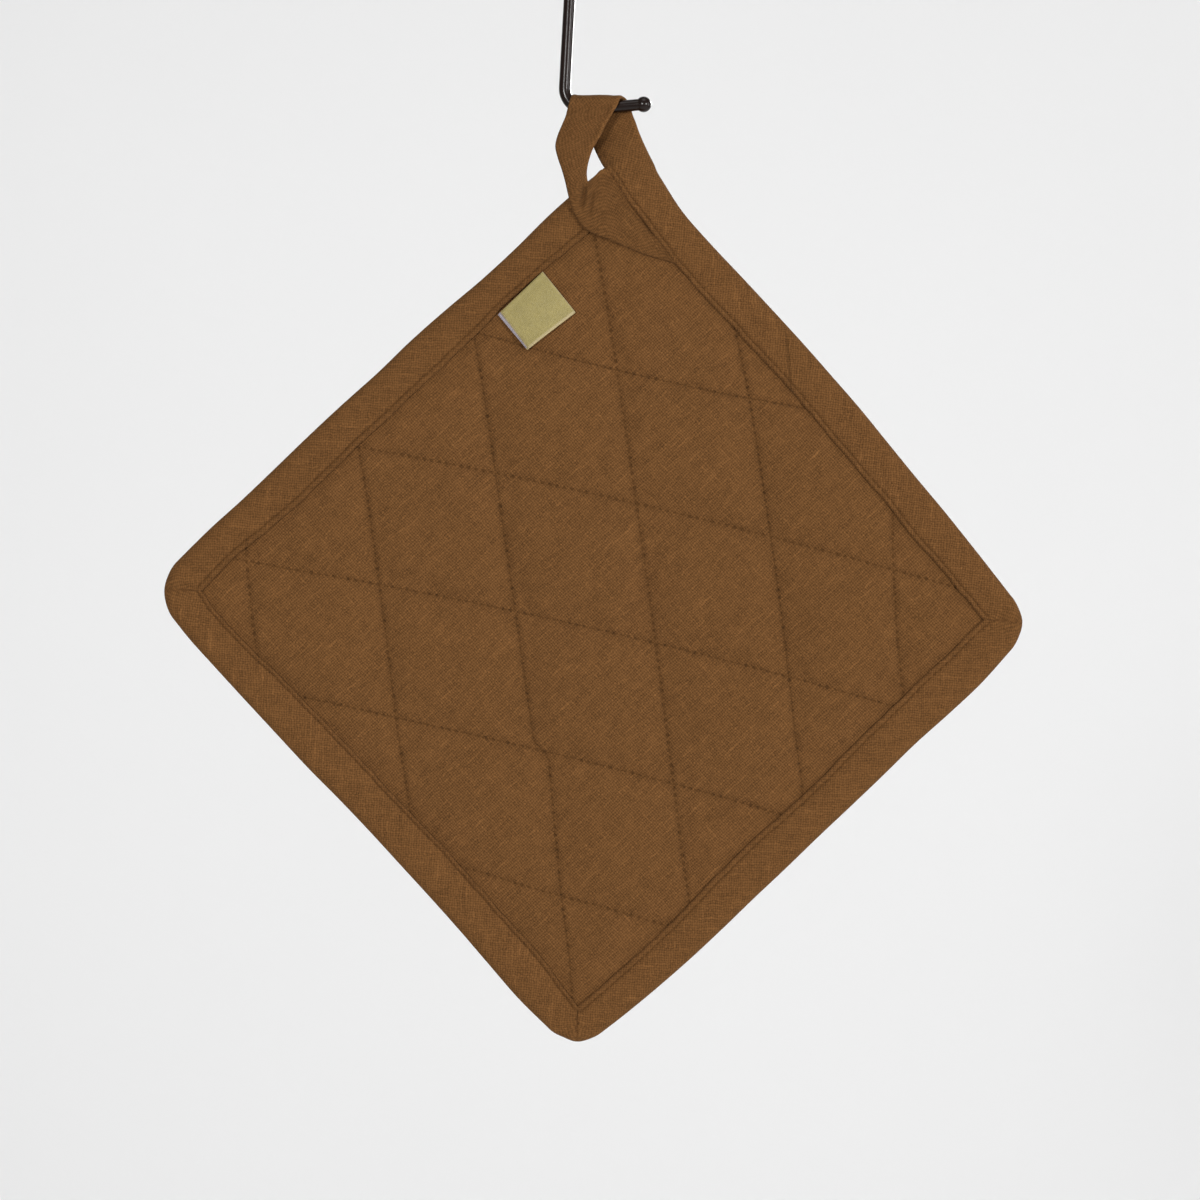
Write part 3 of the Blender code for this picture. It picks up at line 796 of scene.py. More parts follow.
def side_stations(index, travelled):
    """The strip's stations along one side of the pad, two to a stitch."""
    side = SIDES[index]
    start, along, outward, length = side_frame(index)
    ratios = np.arange(2 * round(length / EDGE_PITCH) + 1)
    ratios = ratios / ratios[-1]
    if side.name == UNDER_SIDE:
        ratios = np.concatenate((np.array(UNDER_LOOP) / length, ratios))
    seams = smooth_through(side.seam, BOW_AT, np.maximum(ratios, 0.0)) + LIP_START
    edges = smooth_through(side.edge, BOW_AT, np.maximum(ratios, 0.0))
    stations = []
    for step, (ratio, seam, edge) in enumerate(zip(ratios, seams, edges)):
        lift, press = 0.0, 1.0
        if side.name == UNDER_SIDE:
            press = UNDER_PRESS + (1.0 - UNDER_PRESS) * float(ease(length * ratio / UNDER_RUN))
        if side.name == LOOP_SIDE:
            past_tail = length * (ratio - 1.0) + TAIL_TUCKED
            lift = TAIL_LIFT * float(ease(past_tail / TAIL_LIFT_RUN))
        place = in_frame(start + along * (length * ratio) + outward * seam)
        hole = STITCH_DIP if step % 2 == 0 else -STITCH_DIP
        lip = (side.stitched - LIP_START) / LIP_AT[STITCH_COLUMN]
        shape = (edge - seam, CROWN_HALF, 1.0, 0.0, lift, press, hole, lip)
        run = travelled + length * ratio
        stations.append(Station(place, upright(outward), TO_VIEWER, *shape, index, run, 0.0))
    return stations


def corner_stations(index, travelled):
    """The strip's stations round the corner after a side, crowded at its mitre."""
    following = (index + 1) % len(SIDES)
    _, along, outward, _ = side_frame(index)
    turn = math.acos(float(outward @ side_frame(following)[2]))
    reaches = (SIDES[index].edge[-1], *CORNERS[following].reach, SIDES[following].edge[0])
    ratios = np.arange(1, FAN_STEPS) / FAN_STEPS
    ratios = ratios + FAN_CROWD * np.sin(2.0 * math.pi * ratios) / (2.0 * math.pi)
    stations = []
    for ratio, reach in zip(ratios, smooth_through(reaches, FAN_AT, ratios)):
        way = outward * math.cos(turn * ratio) + along * math.sin(turn * ratio)
        place = in_frame(corner_point(following) + way * LIP_START)
        dip = MITRE_DIP * hump((ratio - 0.5) * turn, MITRE_WIDE)
        own_side = index if ratio <= 0.5 else following
        stitched = SIDES[index].stitched * (1.0 - ratio) + SIDES[following].stitched * ratio
        lip = (stitched - LIP_START) / LIP_AT[STITCH_COLUMN]
        shape = (reach - LIP_START, CROWN_HALF, 1.0, dip, 0.0, 1.0, 0.0, lip)
        stations.append(Station(place, upright(way), TO_VIEWER, *shape, own_side, travelled, 0.0))
    return stations


def bar_height(x):
    """The height of the bar's middle line."""
    start_x = BEND_MIDDLE.x + BEND_RADIUS * math.sin(BAR_RISE)
    start_z = BEND_MIDDLE.z - BEND_RADIUS * math.cos(BAR_RISE)
    return start_z + (x - start_x) * math.tan(BAR_RISE)


def wrap_rungs():
    """The loop's rungs over the bar, from its back round the top to its front."""
    rungs = []
    for wrap in WRAPS:
        ends = []
        for edge, reach in ((-0.5, wrap.left_reach), (0.5, wrap.right_reach)):
            x = wrap.middle_x + WRAP_WIDTH * edge
            height = bar_height(x) + reach * math.sin(wrap.angle)
            ends += [x, height, reach * math.cos(wrap.angle)]
        rungs.append(Rung("over_bar", *ends, BAND_HALF, 0.0, 0.0))
    return rungs


def loop_stations(stations):
    """The strip past the pad's top corner: up behind the bar, over it, down to its tail."""
    before, last = stations[-1 - STATIONS_BACK], stations[-1]
    table = []
    for item in (before, last):
        outer = item.inner + item.across * item.width
        table.append((*item.inner[[0, 2, 1]], *outer[[0, 2, 1]], CROWN_HALF, 1.0, 0.0))
    rungs = [*BACK_RUNGS, *wrap_rungs(), *FRONT_RUNGS]
    table += [rung[1:] for rung in rungs]
    at = np.arange(1, len(rungs) * BAND_FINE + 1) / BAND_FINE
    columns = [smooth_through(column, np.arange(len(table)) - 1.0, at) for column in zip(*table)]
    inner = np.stack((columns[0], columns[2], columns[1]), 1)
    outer = np.stack((columns[3], columns[5], columns[4]), 1)
    half, wrapped, roll = columns[6:]
    route = np.vstack((last.inner + last.across * last.width / 2.0, (inner + outer) / 2.0))
    across = outer - inner
    width = np.linalg.norm(across, axis=1)
    across /= width[:, None]
    face = np.cross(across, np.gradient(route, axis=0)[1:])
    face /= np.linalg.norm(face, axis=1)[:, None]
    run = last.run + np.cumsum(np.linalg.norm(np.diff(route, axis=0), axis=1))
    half, wrapped = np.maximum(half, BAND_HALF), np.clip(wrapped, 0.0, 1.0)
    lift = last.lift * (1.0 - ease((at - LIFT_HELD) / LIFT_FADES_OVER))
    hole = STITCH_DIP * np.cos(2.0 * math.pi * (run - last.run) / EDGE_PITCH)
    dip, press = np.zeros(len(at)), np.ones(len(at))
    lip, side = (np.full(len(at), value) for value in (last.lip, last.side))
    shape = (width, half, wrapped, dip, lift, press, hole, lip)
    return [Station(*row) for row in zip(inner, across, face, *shape, side, run, roll)]


def round_end(deep):
    """Heights of a round edge at the places in FOLD_AT, as a share of its full height."""
    return np.sqrt(1.0 - np.clip(1.0 - np.array(FOLD_AT) / deep, 0.0, 1.0) ** 2)


def strip_section(width, half, wrapped, lip):
    """The strip's section: reaches from its inner edge, and how far its faces stand off.

    Round the pad it is a hollow U; past the top corner it closes to a flat band.
    """
    scale = np.clip(width / BAND_PLAIN_WIDTH, BAND_LEAST_SCALE, 1.0)
    lip_at = np.array(LIP_AT) * scale * lip
    fold_at = width - np.array(FOLD_AT) * scale
    ratio = np.arange(1, MID_STEPS + 1) / (MID_STEPS + 1)
    mid_at = lip_at[:, -1:] + (fold_at[:, :1] - lip_at[:, -1:]) * ratio
    crown = LIP_WRAPPED[-1] + CROWN_RISE * np.sin(math.pi * ratio)
    around = np.concatenate((LIP_WRAPPED, crown, FOLD_HEIGHT * round_end(FOLD_DEEP))) / CROWN_HALF
    closed = np.concatenate((LIP_CLOSED, np.ones(MID_STEPS), round_end(BAND_EDGE)))
    stand = half * (wrapped * around + (1.0 - wrapped) * closed)
    shoulder_at, deepest_at = (width - off * scale for off in (HOLLOW_SHOULDER_IN, HOLLOW_IN))
    inside_at = np.hstack((width * HOLLOW_MIDDLE, shoulder_at, deepest_at))
    inside = wrapped * HOLLOW_HALF + (1.0 - wrapped) * BAND_SLIT
    return np.hstack((lip_at, mid_at, fold_at)), stand, inside_at, inside


def strip_relief(run, reach, width, back):
    """How uneven the strip's faces are: ripples, and gathers along the stitches."""
    gathers = LIP_GATHER_HIGH * waves(run / LIP_GATHER_PITCH, LIP_GATHER_APART * back, 8)
    rise = gathers * hump(reach - LIP_GATHER_AT, LIP_GATHER_WIDE)
    for ripple in RIPPLES:
        along = (run - reach * ripple.slant) / ripple.long
        across = reach / ripple.wide + ripple.face_apart * back
        rise = rise + ripple.high * waves(along, across, ripple.own_noise)
    return rise * ease(reach / RIPPLES_START_OVER) * ease((width - reach) / RIPPLES_END_OVER)


def crease_depth(places):
    """How deep the creases of the loop's front are, at places seen from the front."""
    depth = np.zeros(len(places))
    for crease in CREASES:
        route = np.array(crease.route)
        nearest = np.full(len(places), np.inf)
        share = np.zeros(len(places))
        for index, (first, second) in enumerate(zip(route, route[1:])):
            run = second - first
            along = np.clip((places - first) @ run / (run @ run), 0.0, 1.0)
            gap = np.hypot(*(places - first - along[:, None] * run).T)
            share = np.where(gap < nearest, (index + along) / (len(route) - 1), share)
            nearest = np.minimum(gap, nearest)
        fade = ease(share / CREASE_STARTS_OVER)
        fade = fade * ease((1.0 - share) / CREASE_ENDS_OVER + crease.open_end)
        depth += crease.depth * fade * hump(nearest, crease.wide)
    return depth


def strip_stations():
    """All the strip's stations in order, as one Station of columns."""
    stations, travelled = [], 0.0
    for index in STRIP_ORDER:
        stations += side_stations(index, travelled)
        travelled += side_frame(index)[3]
        if index != STRIP_ORDER[-1]:
            stations += corner_stations(index, travelled)
    stations += loop_stations(stations)
    return Station(*(np.array(column) for column in zip(*stations)))


def strip_rings(strip):
    """The points of a ring at each station, how far round the strip they are, and the creases."""
    at = Station(*(column[:, None] for column in strip))
    reach, stand, inside_at, inside = strip_section(at.width, at.half, at.wrapped, at.lip)
    front, back = (
        stand * at.press
        - at.dip * ease(reach / DIP_STARTS_OVER)
        + strip_relief(at.run, reach, at.width, side)
        for side in (0.0, 1.0)
    )
    for face in (front, back):
        face[:, STITCH_COLUMN] -= strip.hole
    tip, inside = np.zeros_like(at.width), inside * at.press
    ring_reach = np.hstack((reach, at.width, reach[:, ::-1], inside_at, inside_at[:, 1::-1]))
    wander = EDGE_WANDER * waves(at.run / EDGE_WANDER_RUN, EDGE_WANDER_ROW, 9) * (at.wrapped > ON_PAD)
    ring_reach = ring_reach + wander * (1.0 - ease(ring_reach / EDGE_WANDER_REACH))
    height = np.hstack((front, tip, -back[:, ::-1], -inside, -inside, tip, inside, inside))
    height += np.where(height > 0.0, at.lift * (1.0 - ease(ring_reach / TAIL_LIFT_REACH)), 0.0)
    gap = np.hypot(np.diff(ring_reach, axis=1), np.diff(height, axis=1))
    round_it = np.hstack((tip, np.cumsum(gap, axis=1)))
    height -= at.roll * np.sin(math.pi * np.clip(ring_reach / at.width, 0.0, 1.0))
    points = at.inner + at.across * ring_reach[:, :, None] + at.face * height[:, :, None]
    loose = points[-CREASED_RUNGS * BAND_FINE :]
    depth = crease_depth(loose[:, :, (0, 2)].reshape(-1, 2)).reshape(loose.shape[:2])
    creased = np.zeros(round_it.shape)
    creased[-len(loose) :] = np.where(loose[:, :, 1] < PAD_MIDDLE[1], depth, 0.0)
    points[:, :, 1] += creased
    return points, round_it, creased


def ring_corners(count, size):
    """The station and the column of the points at the corners of the strip's faces."""
    station, column = np.arange(count - 1)[:, None, None], np.arange(size)[None, :, None]
    later, further = np.array((0, 0, 1, 1)), np.array((0, 1, 1, 0))
    return station + later, (column + further) % size


def at_face_corners(first, second):
    """Two values known at each of the strip's points, as a map of its faces' corners."""
    spots = ring_corners(*first.shape)
    return np.stack((first[spots], second[spots]), -1).reshape(-1, 2)


def strip_map(strip, points, round_it):
    """For each face corner, how far along the strip it is, and how far round."""
    straight = np.zeros((len(SIDES), *round_it.shape))
    for index in range(len(SIDES)):
        start, along, _, _ = side_frame(index)
        straight[index] = (in_plane(points) - start) @ along + index * MAP_APART
    last = STRIP_ORDER[-1]
    before_last = sum(side_frame(index)[3] for index in STRIP_ORDER[:-1])
    loose = strip.run > before_last + side_frame(last)[3] + PAST_CORNER
    straight[last, loose] = strip.run[loose, None] - before_last + last * MAP_APART
    spots = ring_corners(*round_it.shape)
    along_it = straight[(strip.side[1:, None, None], *spots)]
    around = round_it[spots]
    around[:, -1, 1:3] = around[:, -1, (0, 3)] + 1.0
    return np.stack((along_it, around), -1).reshape(-1, 2)


def topstitch_map(strip, round_it):
    """1 at a needle hole and -1 between two, and how far off the stitched line."""
    off_front = round_it - round_it[:, STITCH_COLUMN, None]
    off_back = round_it[:, BACK_STITCH_COLUMN, None] - round_it
    off = np.where(np.abs(off_front) < np.abs(off_back), off_front, off_back)
    phase = np.repeat(strip.hole[:, None] / STITCH_DIP, round_it.shape[1], axis=1)
    return at_face_corners(phase, off)


def edges_map(round_it):
    """How far past the strip's folded edge, less than 0 before it, and how far from its lips."""
    from_fold = round_it - round_it[:, FOLD_COLUMN, None]
    from_lip = np.minimum(round_it, np.abs(round_it[:, BACK_LIP_COLUMN, None] - round_it))
    return at_face_corners(from_fold, from_lip)


def make_strip(material):
    """The bias strip: the binding all round the pad, and its end that makes the loop.

    It starts under the loop at the top corner, goes down the upper left side and round, and
    past the top corner it leaves the pad, goes over the bar and is sewn in on the face.
    """
    strip = strip_stations()
    points, round_it, creased = strip_rings(strip)
    count, size = round_it.shape
    index = np.arange(count * size).reshape(count, size)
    after = np.roll(index, -1, axis=1)
    faces = np.stack((index[:-1], after[:-1], after[1:], index[1:]), -1).reshape(-1, 4).tolist()
    faces += [index[0][::-1].tolist(), index[-1].tolist()]
    piece = new_piece("binding_and_loop", points.reshape(-1, 3), faces)
    loop = np.zeros(round_it.shape)
    loop[strip.wrapped < ON_PAD] = 1.0
    maps = {
        "strip": strip_map(strip, points, round_it),
        "topstitch": topstitch_map(strip, round_it),
        "edges": edges_map(round_it),
        # The creases' depth, which the material paints as shade, lighter on ridges, and 1 on the
        # loop.
        "loop": at_face_corners(creased, loop),
    }
    ends = np.zeros((2 * size, 2))
    for name, coordinates in maps.items():
        add_map(piece, name, np.vstack((coordinates, ends)))
    look(piece, material)
    threads = []
    for column, facing in ((STITCH_COLUMN, 1.0), (BACK_STITCH_COLUMN, -1.0)):
        threads += strip_threads(points[:, column], strip, facing)
    return piece, threads


def strip_threads(line, strip, facing):
    """The stitches that hold the strip's inner edge round the pad."""
    hole = np.where(strip.wrapped > ON_PAD, strip.hole, 0.0)
    between = (hole[1:-1] <= hole[:-2]) & (hole[1:-1] < hole[2:]) & (hole[1:-1] < -STITCH_DIP / 2.0)
    threads = []
    for index in np.flatnonzero(between) + 1:
        along = Vector(line[index + 1] - line[index - 1]).normalized()
        up = Vector(strip.face[index] * facing)
        up = (up - along * up.dot(along)).normalized()
        threads.append(Thread(Vector(line[index]) - up * EDGE_SUNK, along, up))
    return threads


# ------------------------------------------------------------------ the label


def make_label(material):
    """The bare label: a satin ribbon folded in two, its ends caught in the binding's seam."""
    low, high, free_high, free_low = (np.array((spot.x, spot.z)) for spot in TAB_SPOTS)
    lift_low, lift_high, lift_free_high, lift_free_low = (spot.lift for spot in TAB_SPOTS)
    rows = np.arange(TAB_STEPS + 1) / TAB_STEPS
    turn = math.pi * np.arange(1, TAB_TURNS) / TAB_TURNS
    out = np.concatenate((rows, np.ones(TAB_TURNS - 1), rows[::-1]))
    tilt = np.concatenate((np.zeros_like(rows), turn, np.full_like(rows, math.pi)))
    count, size = len(rows), len(out)
    side, step = (grid.ravel() for grid in np.meshgrid(rows, np.arange(size), indexing="ij"))
    out, tilt = out[step], tilt[step]
    near = low + (high - low) * side[:, None]
    far = free_low + (free_high - free_low) * side[:, None]
    way = (far - near) / np.linalg.norm(far - near, axis=1)[:, None]
    flat = near + (far - near) * out[:, None]
    peek = TAB_PEEK * (1.0 - TAB_PEEK_FADES * out) * (1.0 + np.cos(tilt)) / 2.0
    flat += (low - high) / np.hypot(*(low - high)) * peek[:, None]
    lift = (lift_low * (1.0 - side) + lift_high * side) * (1.0 - out)
    lift += (lift_free_low * (1.0 - side) + lift_free_high * side) * out
    lift += TAB_CURL * np.sin(math.pi * side) * out
    ground = pad_half(flat) + TAB_GAP + lift
    skins = []
    for thick in (0.5, -0.5):
        spread = TAB_LAYERS_APART / 2.0 + thick * TAB_THICK
        place = flat + way * (spread * np.sin(tilt))[:, None]
        stand = ground + TAB_LAYERS_APART / 2.0 - spread * np.cos(tilt)
        skins.append(np.stack((place[:, 0], -stand, place[:, 1]), 1))
    index = np.arange(count * size).reshape(count, size)
    cells = np.stack((index[:-1, :-1], index[:-1, 1:], index[1:, 1:], index[1:, :-1]), -1)
    cells = cells.reshape(-1, 4)
    faces = cells.tolist() + (cells[:, ::-1] + count * size).tolist()
    border = [*index[:, 0], *index[-1, 1:], *index[-2::-1, -1], *index[0, -2:0:-1]]
    for first, second in zip(border, border[1:] + border[:1]):
        faces.append([first, second, second + count * size, first + count * size])
    piece = new_piece("label_cloth", np.vstack(skins), faces, PAD_MIDDLE)
    drop = np.where(tilt > 0.5 * math.pi, 2.0 - out, out) * float(np.hypot(*(free_low - low)))
    both = np.tile(np.stack((side * float(np.hypot(*(high - low))), drop), 1), (2, 1))
    add_map(piece, "ribbon", both[face_corners(piece)[0]])
    look(piece, material)
    return piece


# ------------------------------------------------------------------ the hook


def hook_route():
    """The wire's middle line from the cut on top to the middle of the ball."""
    points = [Vector((0.0, 0.0, 0.0)), Vector((0.0, 0.0, -PLUMB_TOP))]
    start, end = math.pi - STEM_LEAN, 1.5 * math.pi + BAR_RISE
    for step in range(BEND_STEPS + 1):
        angle = start + (end - start) * step / BEND_STEPS
        arm = Vector((math.cos(angle), 0.0, math.sin(angle))) * BEND_RADIUS
        points.append(BEND_MIDDLE + arm)
    points.append(Vector((BALL_X, 0.0, bar_height(BALL_X))))
    return points


def make_hook(material):
    """The wire, swept along its route, and the ball on its tip, joined in one."""
    route = hook_route()
    deselect_all()
    bpy.ops.mesh.primitive_circle_add(
        vertices=WIRE_SIDES, radius=WIRE_RADIUS * MM, fill_type="NGON", location=(0.0, 0.0, 0.0)
    )
    wire = bpy.context.object
    wire.name = "black_hook"
    bpy.ops.object.mode_set(mode="EDIT")
    bpy.ops.mesh.select_all(action="SELECT")
    previous = Vector((0.0, 0.0, -1.0))
    for first, second in zip(route, route[1:]):
        step = second - first
        bpy.ops.mesh.extrude_region_move(TRANSFORM_OT_translate={"value": step * MM})
        following = step.normalized()
        angle = previous.angle(following)
        if angle > 1e-4:
            bpy.ops.transform.rotate(
                value=-angle * (1.0 if previous.cross(following).y > 0 else -1.0),
                orient_axis="Y",
                center_override=second * MM,
            )
        previous = following
    bpy.ops.object.mode_set(mode="OBJECT")
    deselect_all()
    bpy.ops.mesh.primitive_uv_sphere_add(
        segments=BALL_SEGMENTS,
        ring_count=BALL_RINGS,
        radius=BALL_RADIUS * MM,
        location=route[-1] * MM,
    )
    ball = bpy.context.object
    union = wire.modifiers.new("ball_tip", "BOOLEAN")
    union.operation = "UNION"
    union.object = ball
    apply_modifier(wire, union)
    bpy.data.objects.remove(ball, do_unlink=True)
    look(wire, material)
    wire.data.set_sharp_from_angle(angle=SHARP_OVER)
    return wire


# ------------------------------------------------------------------ sewing


def surface_of(piece):
    """A search tree over a piece's mesh, in metres."""
    data = piece.data
    return BVHTree.FromPolygons(
        [vert.co for vert in data.vertices], [face.vertices for face in data.polygons]
    )


def stitch_shape():
    """One stitch: a short rounded bar, made from a cylinder whose ends are pulled in."""
    deselect_all()
    bpy.ops.mesh.primitive_cylinder_add(
        vertices=STITCH_SIDES,
        radius=STITCH_THICK / 2.0,
        depth=STITCH_LONG * STITCH_BODY,
        end_fill_type="NGON",
        location=(0.0, 0.0, 0.0),
    )
    bar = bpy.context.object
    bpy.ops.object.mode_set(mode="EDIT")
    mesh = bmesh.from_edit_mesh(bar.data)
    for way in (1.0, -1.0):
        for narrower, share in STITCH_ENDS:
            bpy.ops.mesh.select_all(action="DESELECT")
            far = max(mesh.faces, key=lambda face: face.calc_center_median().z * way)
            far.select_set(True)
            bmesh.update_edit_mesh(bar.data)
            step = (0.0, 0.0, way * STITCH_LONG * share)
            bpy.ops.mesh.extrude_region_move(TRANSFORM_OT_translate={"value": step})
            bpy.ops.transform.resize(value=(narrower, narrower, 1.0))
            mesh = bmesh.from_edit_mesh(bar.data)
    bpy.ops.object.mode_set(mode="OBJECT")
    points = np.array([vert.co for vert in bar.data.vertices])
    faces = [list(face.vertices) for face in bar.data.polygons]
    bpy.data.objects.remove(bar, do_unlink=True)
    return points, faces


def land(tree, middle, along, facing):
    """Put a stitch down on a surface from in front or from behind."""
    start = Vector((middle[0], PAD_MIDDLE[1] + facing * PROBE_FROM, middle[1])) * MM
    hit, normal, _, _ = tree.ray_cast(start, Vector((0.0, -facing, 0.0)))
    if hit is None:
        return None
    if normal.y * facing < 0:
        normal = -normal
    along = Vector((along[0], 0.0, along[1]))
    along = (along - normal * along.dot(normal)).normalized()
    return Thread(hit / MM - normal * STITCH_SUNK, along, normal)


def join_stitches(name, threads, material, seed):
    """Copy the one stitch to every place, as one mesh."""
    shape, shape_faces = stitch_shape()
    chance = np.random.default_rng(seed)
    points, faces = [], []
    for index, thread in enumerate(threads):
        side = thread.along.cross(thread.up).normalized()
        turn = chance.normal(0.0, STITCH_TURN)
        stretch = 1.0 + chance.normal(0.0, STITCH_STRETCH)
        along = (thread.along + side * turn).normalized()
        side = along.cross(thread.up).normalized()
        up = side.cross(along)
        axes = np.array((side, up, along))
        bent = shape.copy()
        bent[:, 2] *= stretch
        bent[:, 1] -= STITCH_BEND * (shape[:, 2] / (STITCH_LONG / 2.0)) ** 2
        points.append(bent @ axes + np.array(thread.middle))
        faces += [[corner + index * len(shape) for corner in face] for face in shape_faces]
    piece = new_piece(name, np.vstack(points), faces)
    look(piece, material)
    return piece


def quilt_threads(tree, facing):
    """Stitches along every quilting line, from seam to seam."""
    threads = []
    for lines, across, along in ((STEEP_LINES, 0, 1), (LEVEL_LINES, 1, 0)):
        for line in lines[1:-1]:
            slant = math.sqrt(1.0 + line.lean**2)
            count = np.arange(-QUILT_STITCHES_EACH_WAY, QUILT_STITCHES_EACH_WAY)
            run = (count + 0.5) * QUILT_PITCH / slant
            flat = np.zeros((len(run), 2))
            flat[:, along] = run
            flat[:, across] = line_value(line, run)
            ahead = flat.copy()
            ahead[:, along] = run + 1.0
            ahead[:, across] = line_value(line, run + 1.0)
            place, further = flat + seam_bow(flat), ahead + seam_bow(ahead)
            depth = inside_seam(place)
            for spot, nose, deep in zip(place, further, depth):
                if deep > QUILT_STARTS_INSIDE:
                    thread = land(tree, spot + PAD_MIDDLE[[0, 2]], nose - spot, facing)
                    if thread:
                        threads.append(thread)
    return threads


# ------------------------------------------------------------------ materials


class Recipe:
    """A material's nodes, added one after the other."""

    def __init__(self, name, colour, roughness):
        self.material = bpy.data.materials.new(name)
        self.material.use_nodes = True
        self.tree = self.material.node_tree
        self.shader = self.tree.nodes["Principled BSDF"]
        self.shader.inputs["Base Color"].default_value = (*colour, 1.0)
        self.shader.inputs["Roughness"].default_value = roughness

    def plug(self, source, target):
        """Link a socket to another, or set it to a plain value."""
        if isinstance(source, (int, float, tuple)):
            target.default_value = source
        else:
            self.tree.links.new(source, target)

    def maths(self, operation, *values):
        node = self.tree.nodes.new("ShaderNodeMath")
        node.operation = operation
        for value, socket in zip(values, node.inputs):
            self.plug(value, socket)
        return node.outputs[0]

    def times(self, first, second):
        return self.maths("MULTIPLY", first, second)

    def mix(self, *terms):
        """A weighted sum: a first term, then pairs of a value and its weight."""
        total = terms[0]
        for value, weight in terms[1:]:
            total = self.maths("MULTIPLY_ADD", value, weight, total)
        return total

    def ramp(self, value, low, high, to_low=0.0, to_high=1.0):
        """A smooth step from one number to another, as a value goes from low to high."""
        node = self.tree.nodes.new("ShaderNodeMapRange")
        node.interpolation_type = "SMOOTHSTEP"
        for socket, item in zip(node.inputs, (value, low, high, to_low, to_high)):
            self.plug(item, socket)
        return node.outputs[0]

    def near(self, distance, low, high):
        """1 up to a low distance, falling to 0 at a high one."""
        return self.ramp(distance, low, high, 1.0, 0.0)

    def vector(self, x, y, z=0.0):
        node = self.tree.nodes.new("ShaderNodeCombineXYZ")
        for value, socket in zip((x, y, z), node.inputs):
            self.plug(value, socket)
        return node.outputs[0]

    def parts(self, vector):
        """The three numbers of a vector."""
        node = self.tree.nodes.new("ShaderNodeSeparateXYZ")
        self.plug(vector, node.inputs[0])
        return node.outputs[0], node.outputs[1], node.outputs[2]

    def noise(self, vector, scale, detail=2.0, roughness=0.5):
        node = self.tree.nodes.new("ShaderNodeTexNoise")
        self.plug(vector, node.inputs["Vector"])
        node.inputs["Scale"].default_value = scale
        node.inputs["Detail"].default_value = detail
        node.inputs["Roughness"].default_value = roughness
        return node.outputs[0]

    def chance(self, value):
        """A different number from 0 to 1 for each whole value."""
        node = self.tree.nodes.new("ShaderNodeTexWhiteNoise")
        node.noise_dimensions = "1D"
        self.plug(value, node.inputs["W"])
        return node.outputs[0]

    def map(self, name):
        """The piece's own UV map of a name."""
        node = self.tree.nodes.new("ShaderNodeUVMap")
        node.uv_map = name
        return node.outputs[0]

    def place(self, scale, turn=(0.0, 0.0, 0.0), source=None):
        """Object coordinates, or a map, scaled and turned."""
        if source is None:
            source = self.tree.nodes.new("ShaderNodeTexCoord").outputs["Object"]
        node = self.tree.nodes.new("ShaderNodeMapping")
        self.plug(source, node.inputs["Vector"])
        node.inputs["Rotation"].default_value = turn
        node.inputs["Scale"].default_value = (scale, scale, scale)
        return node.outputs[0]

    def blend(self, first, second, share):
        """A colour between two colours."""
        node = self.tree.nodes.new("ShaderNodeMix")
        node.data_type = "RGBA"
        for index, value in ((0, share), (6, first), (7, second)):
            self.plug((*value, 1.0) if isinstance(value, tuple) else value, node.inputs[index])
        return node.outputs[2]

    def tint(self, colour, factor):
        """The base colour made lighter or darker by a factor."""
        node = self.tree.nodes.new("ShaderNodeVectorMath")
        node.operation = "SCALE"
        self.plug(colour, node.inputs[0])
        self.plug(factor, node.inputs["Scale"])
        self.tree.links.new(node.outputs[0], self.shader.inputs["Base Color"])

    def relief(self, height):
        """A bump from a height in millimetres."""
        node = self.tree.nodes.new("ShaderNodeBump")
        node.inputs["Strength"].default_value = 1.0
        node.inputs["Distance"].default_value = MM
        self.plug(height, node.inputs["Height"])
        self.tree.links.new(node.outputs[0], self.shader.inputs["Normal"])

    def sheen(self, weight, roughness, tint):
        self.shader.inputs["Sheen Weight"].default_value = weight
        self.shader.inputs["Sheen Roughness"].default_value = roughness
        self.shader.inputs["Sheen Tint"].default_value = (*tint, 1.0)


# The linen: its colour, its threads' pitch, and how much each part of the weave adds to its
# brightness and to its height.
LINEN_COLOUR = (0.1510, 0.0680, 0.0222)
LINEN_ROUGHNESS = 0.9
LINEN_GLOSS = 0.05
WARP_PITCH = 0.80
WEFT_PITCH = 0.88
WOBBLE_SCALE = 0.33
WOBBLE = 1.5
PANEL_TURN = math.radians(43.5)
STRIP_TURN = math.radians(-45.0)
Weave = namedtuple("Weave", "pillow top weft slub thin mottle grain")
WEAVE_TONE = Weave(0.56, 0.80, 0.08, 0.22, 0.14, 0.07, 1.40)
WEAVE_TONE_BASE = -0.535
WEAVE_HEIGHT = Weave(0.12, 0.10, 0.10, 0.08, 0.0, 0.0, 0.08)

# How streaks are drawn out along the threads, and kept apart from thread to thread.
Streak = namedtuple("Streak", "across along own_noise")
WARP_STREAK = Streak(3.7, 0.16, 0.0)
WEFT_STREAK = Streak(0.12, 3.7, 3.0)
SLUB_STREAK = Streak(0.07, 2.9, 9.0)
THIN_STREAK = Streak(2.9, 0.08, 14.0)
SLUB_FROM = (0.60, 0.76)
THIN_FROM = (0.62, 0.78)

# Noise in the cloth: its scale, its detail and its roughness.
MOTTLE_NOISE = (0.06, 3.0, 0.6)
GRAIN_NOISE = (1.7, 3.0, 0.75)
LUCK_NOISE = (0.7, 2.0, 0.6)

# Needle holes in the panel: how far they draw out along the line, their core, and their
# reach and strength, each at least a first number, with luck up to a second one more.
HOLE_DRAWN = 0.55
HOLE_CORE = 0.12
HOLE_REACH = (0.45, 0.35)
HOLE_STRENGTH = (0.4, 0.6)

# Needle holes in the strip: where they show between two stitches, and how much luck they need.
HOLE_PHASE = (0.1, 0.9)
HOLE_LUCK = (0.35, 0.6)
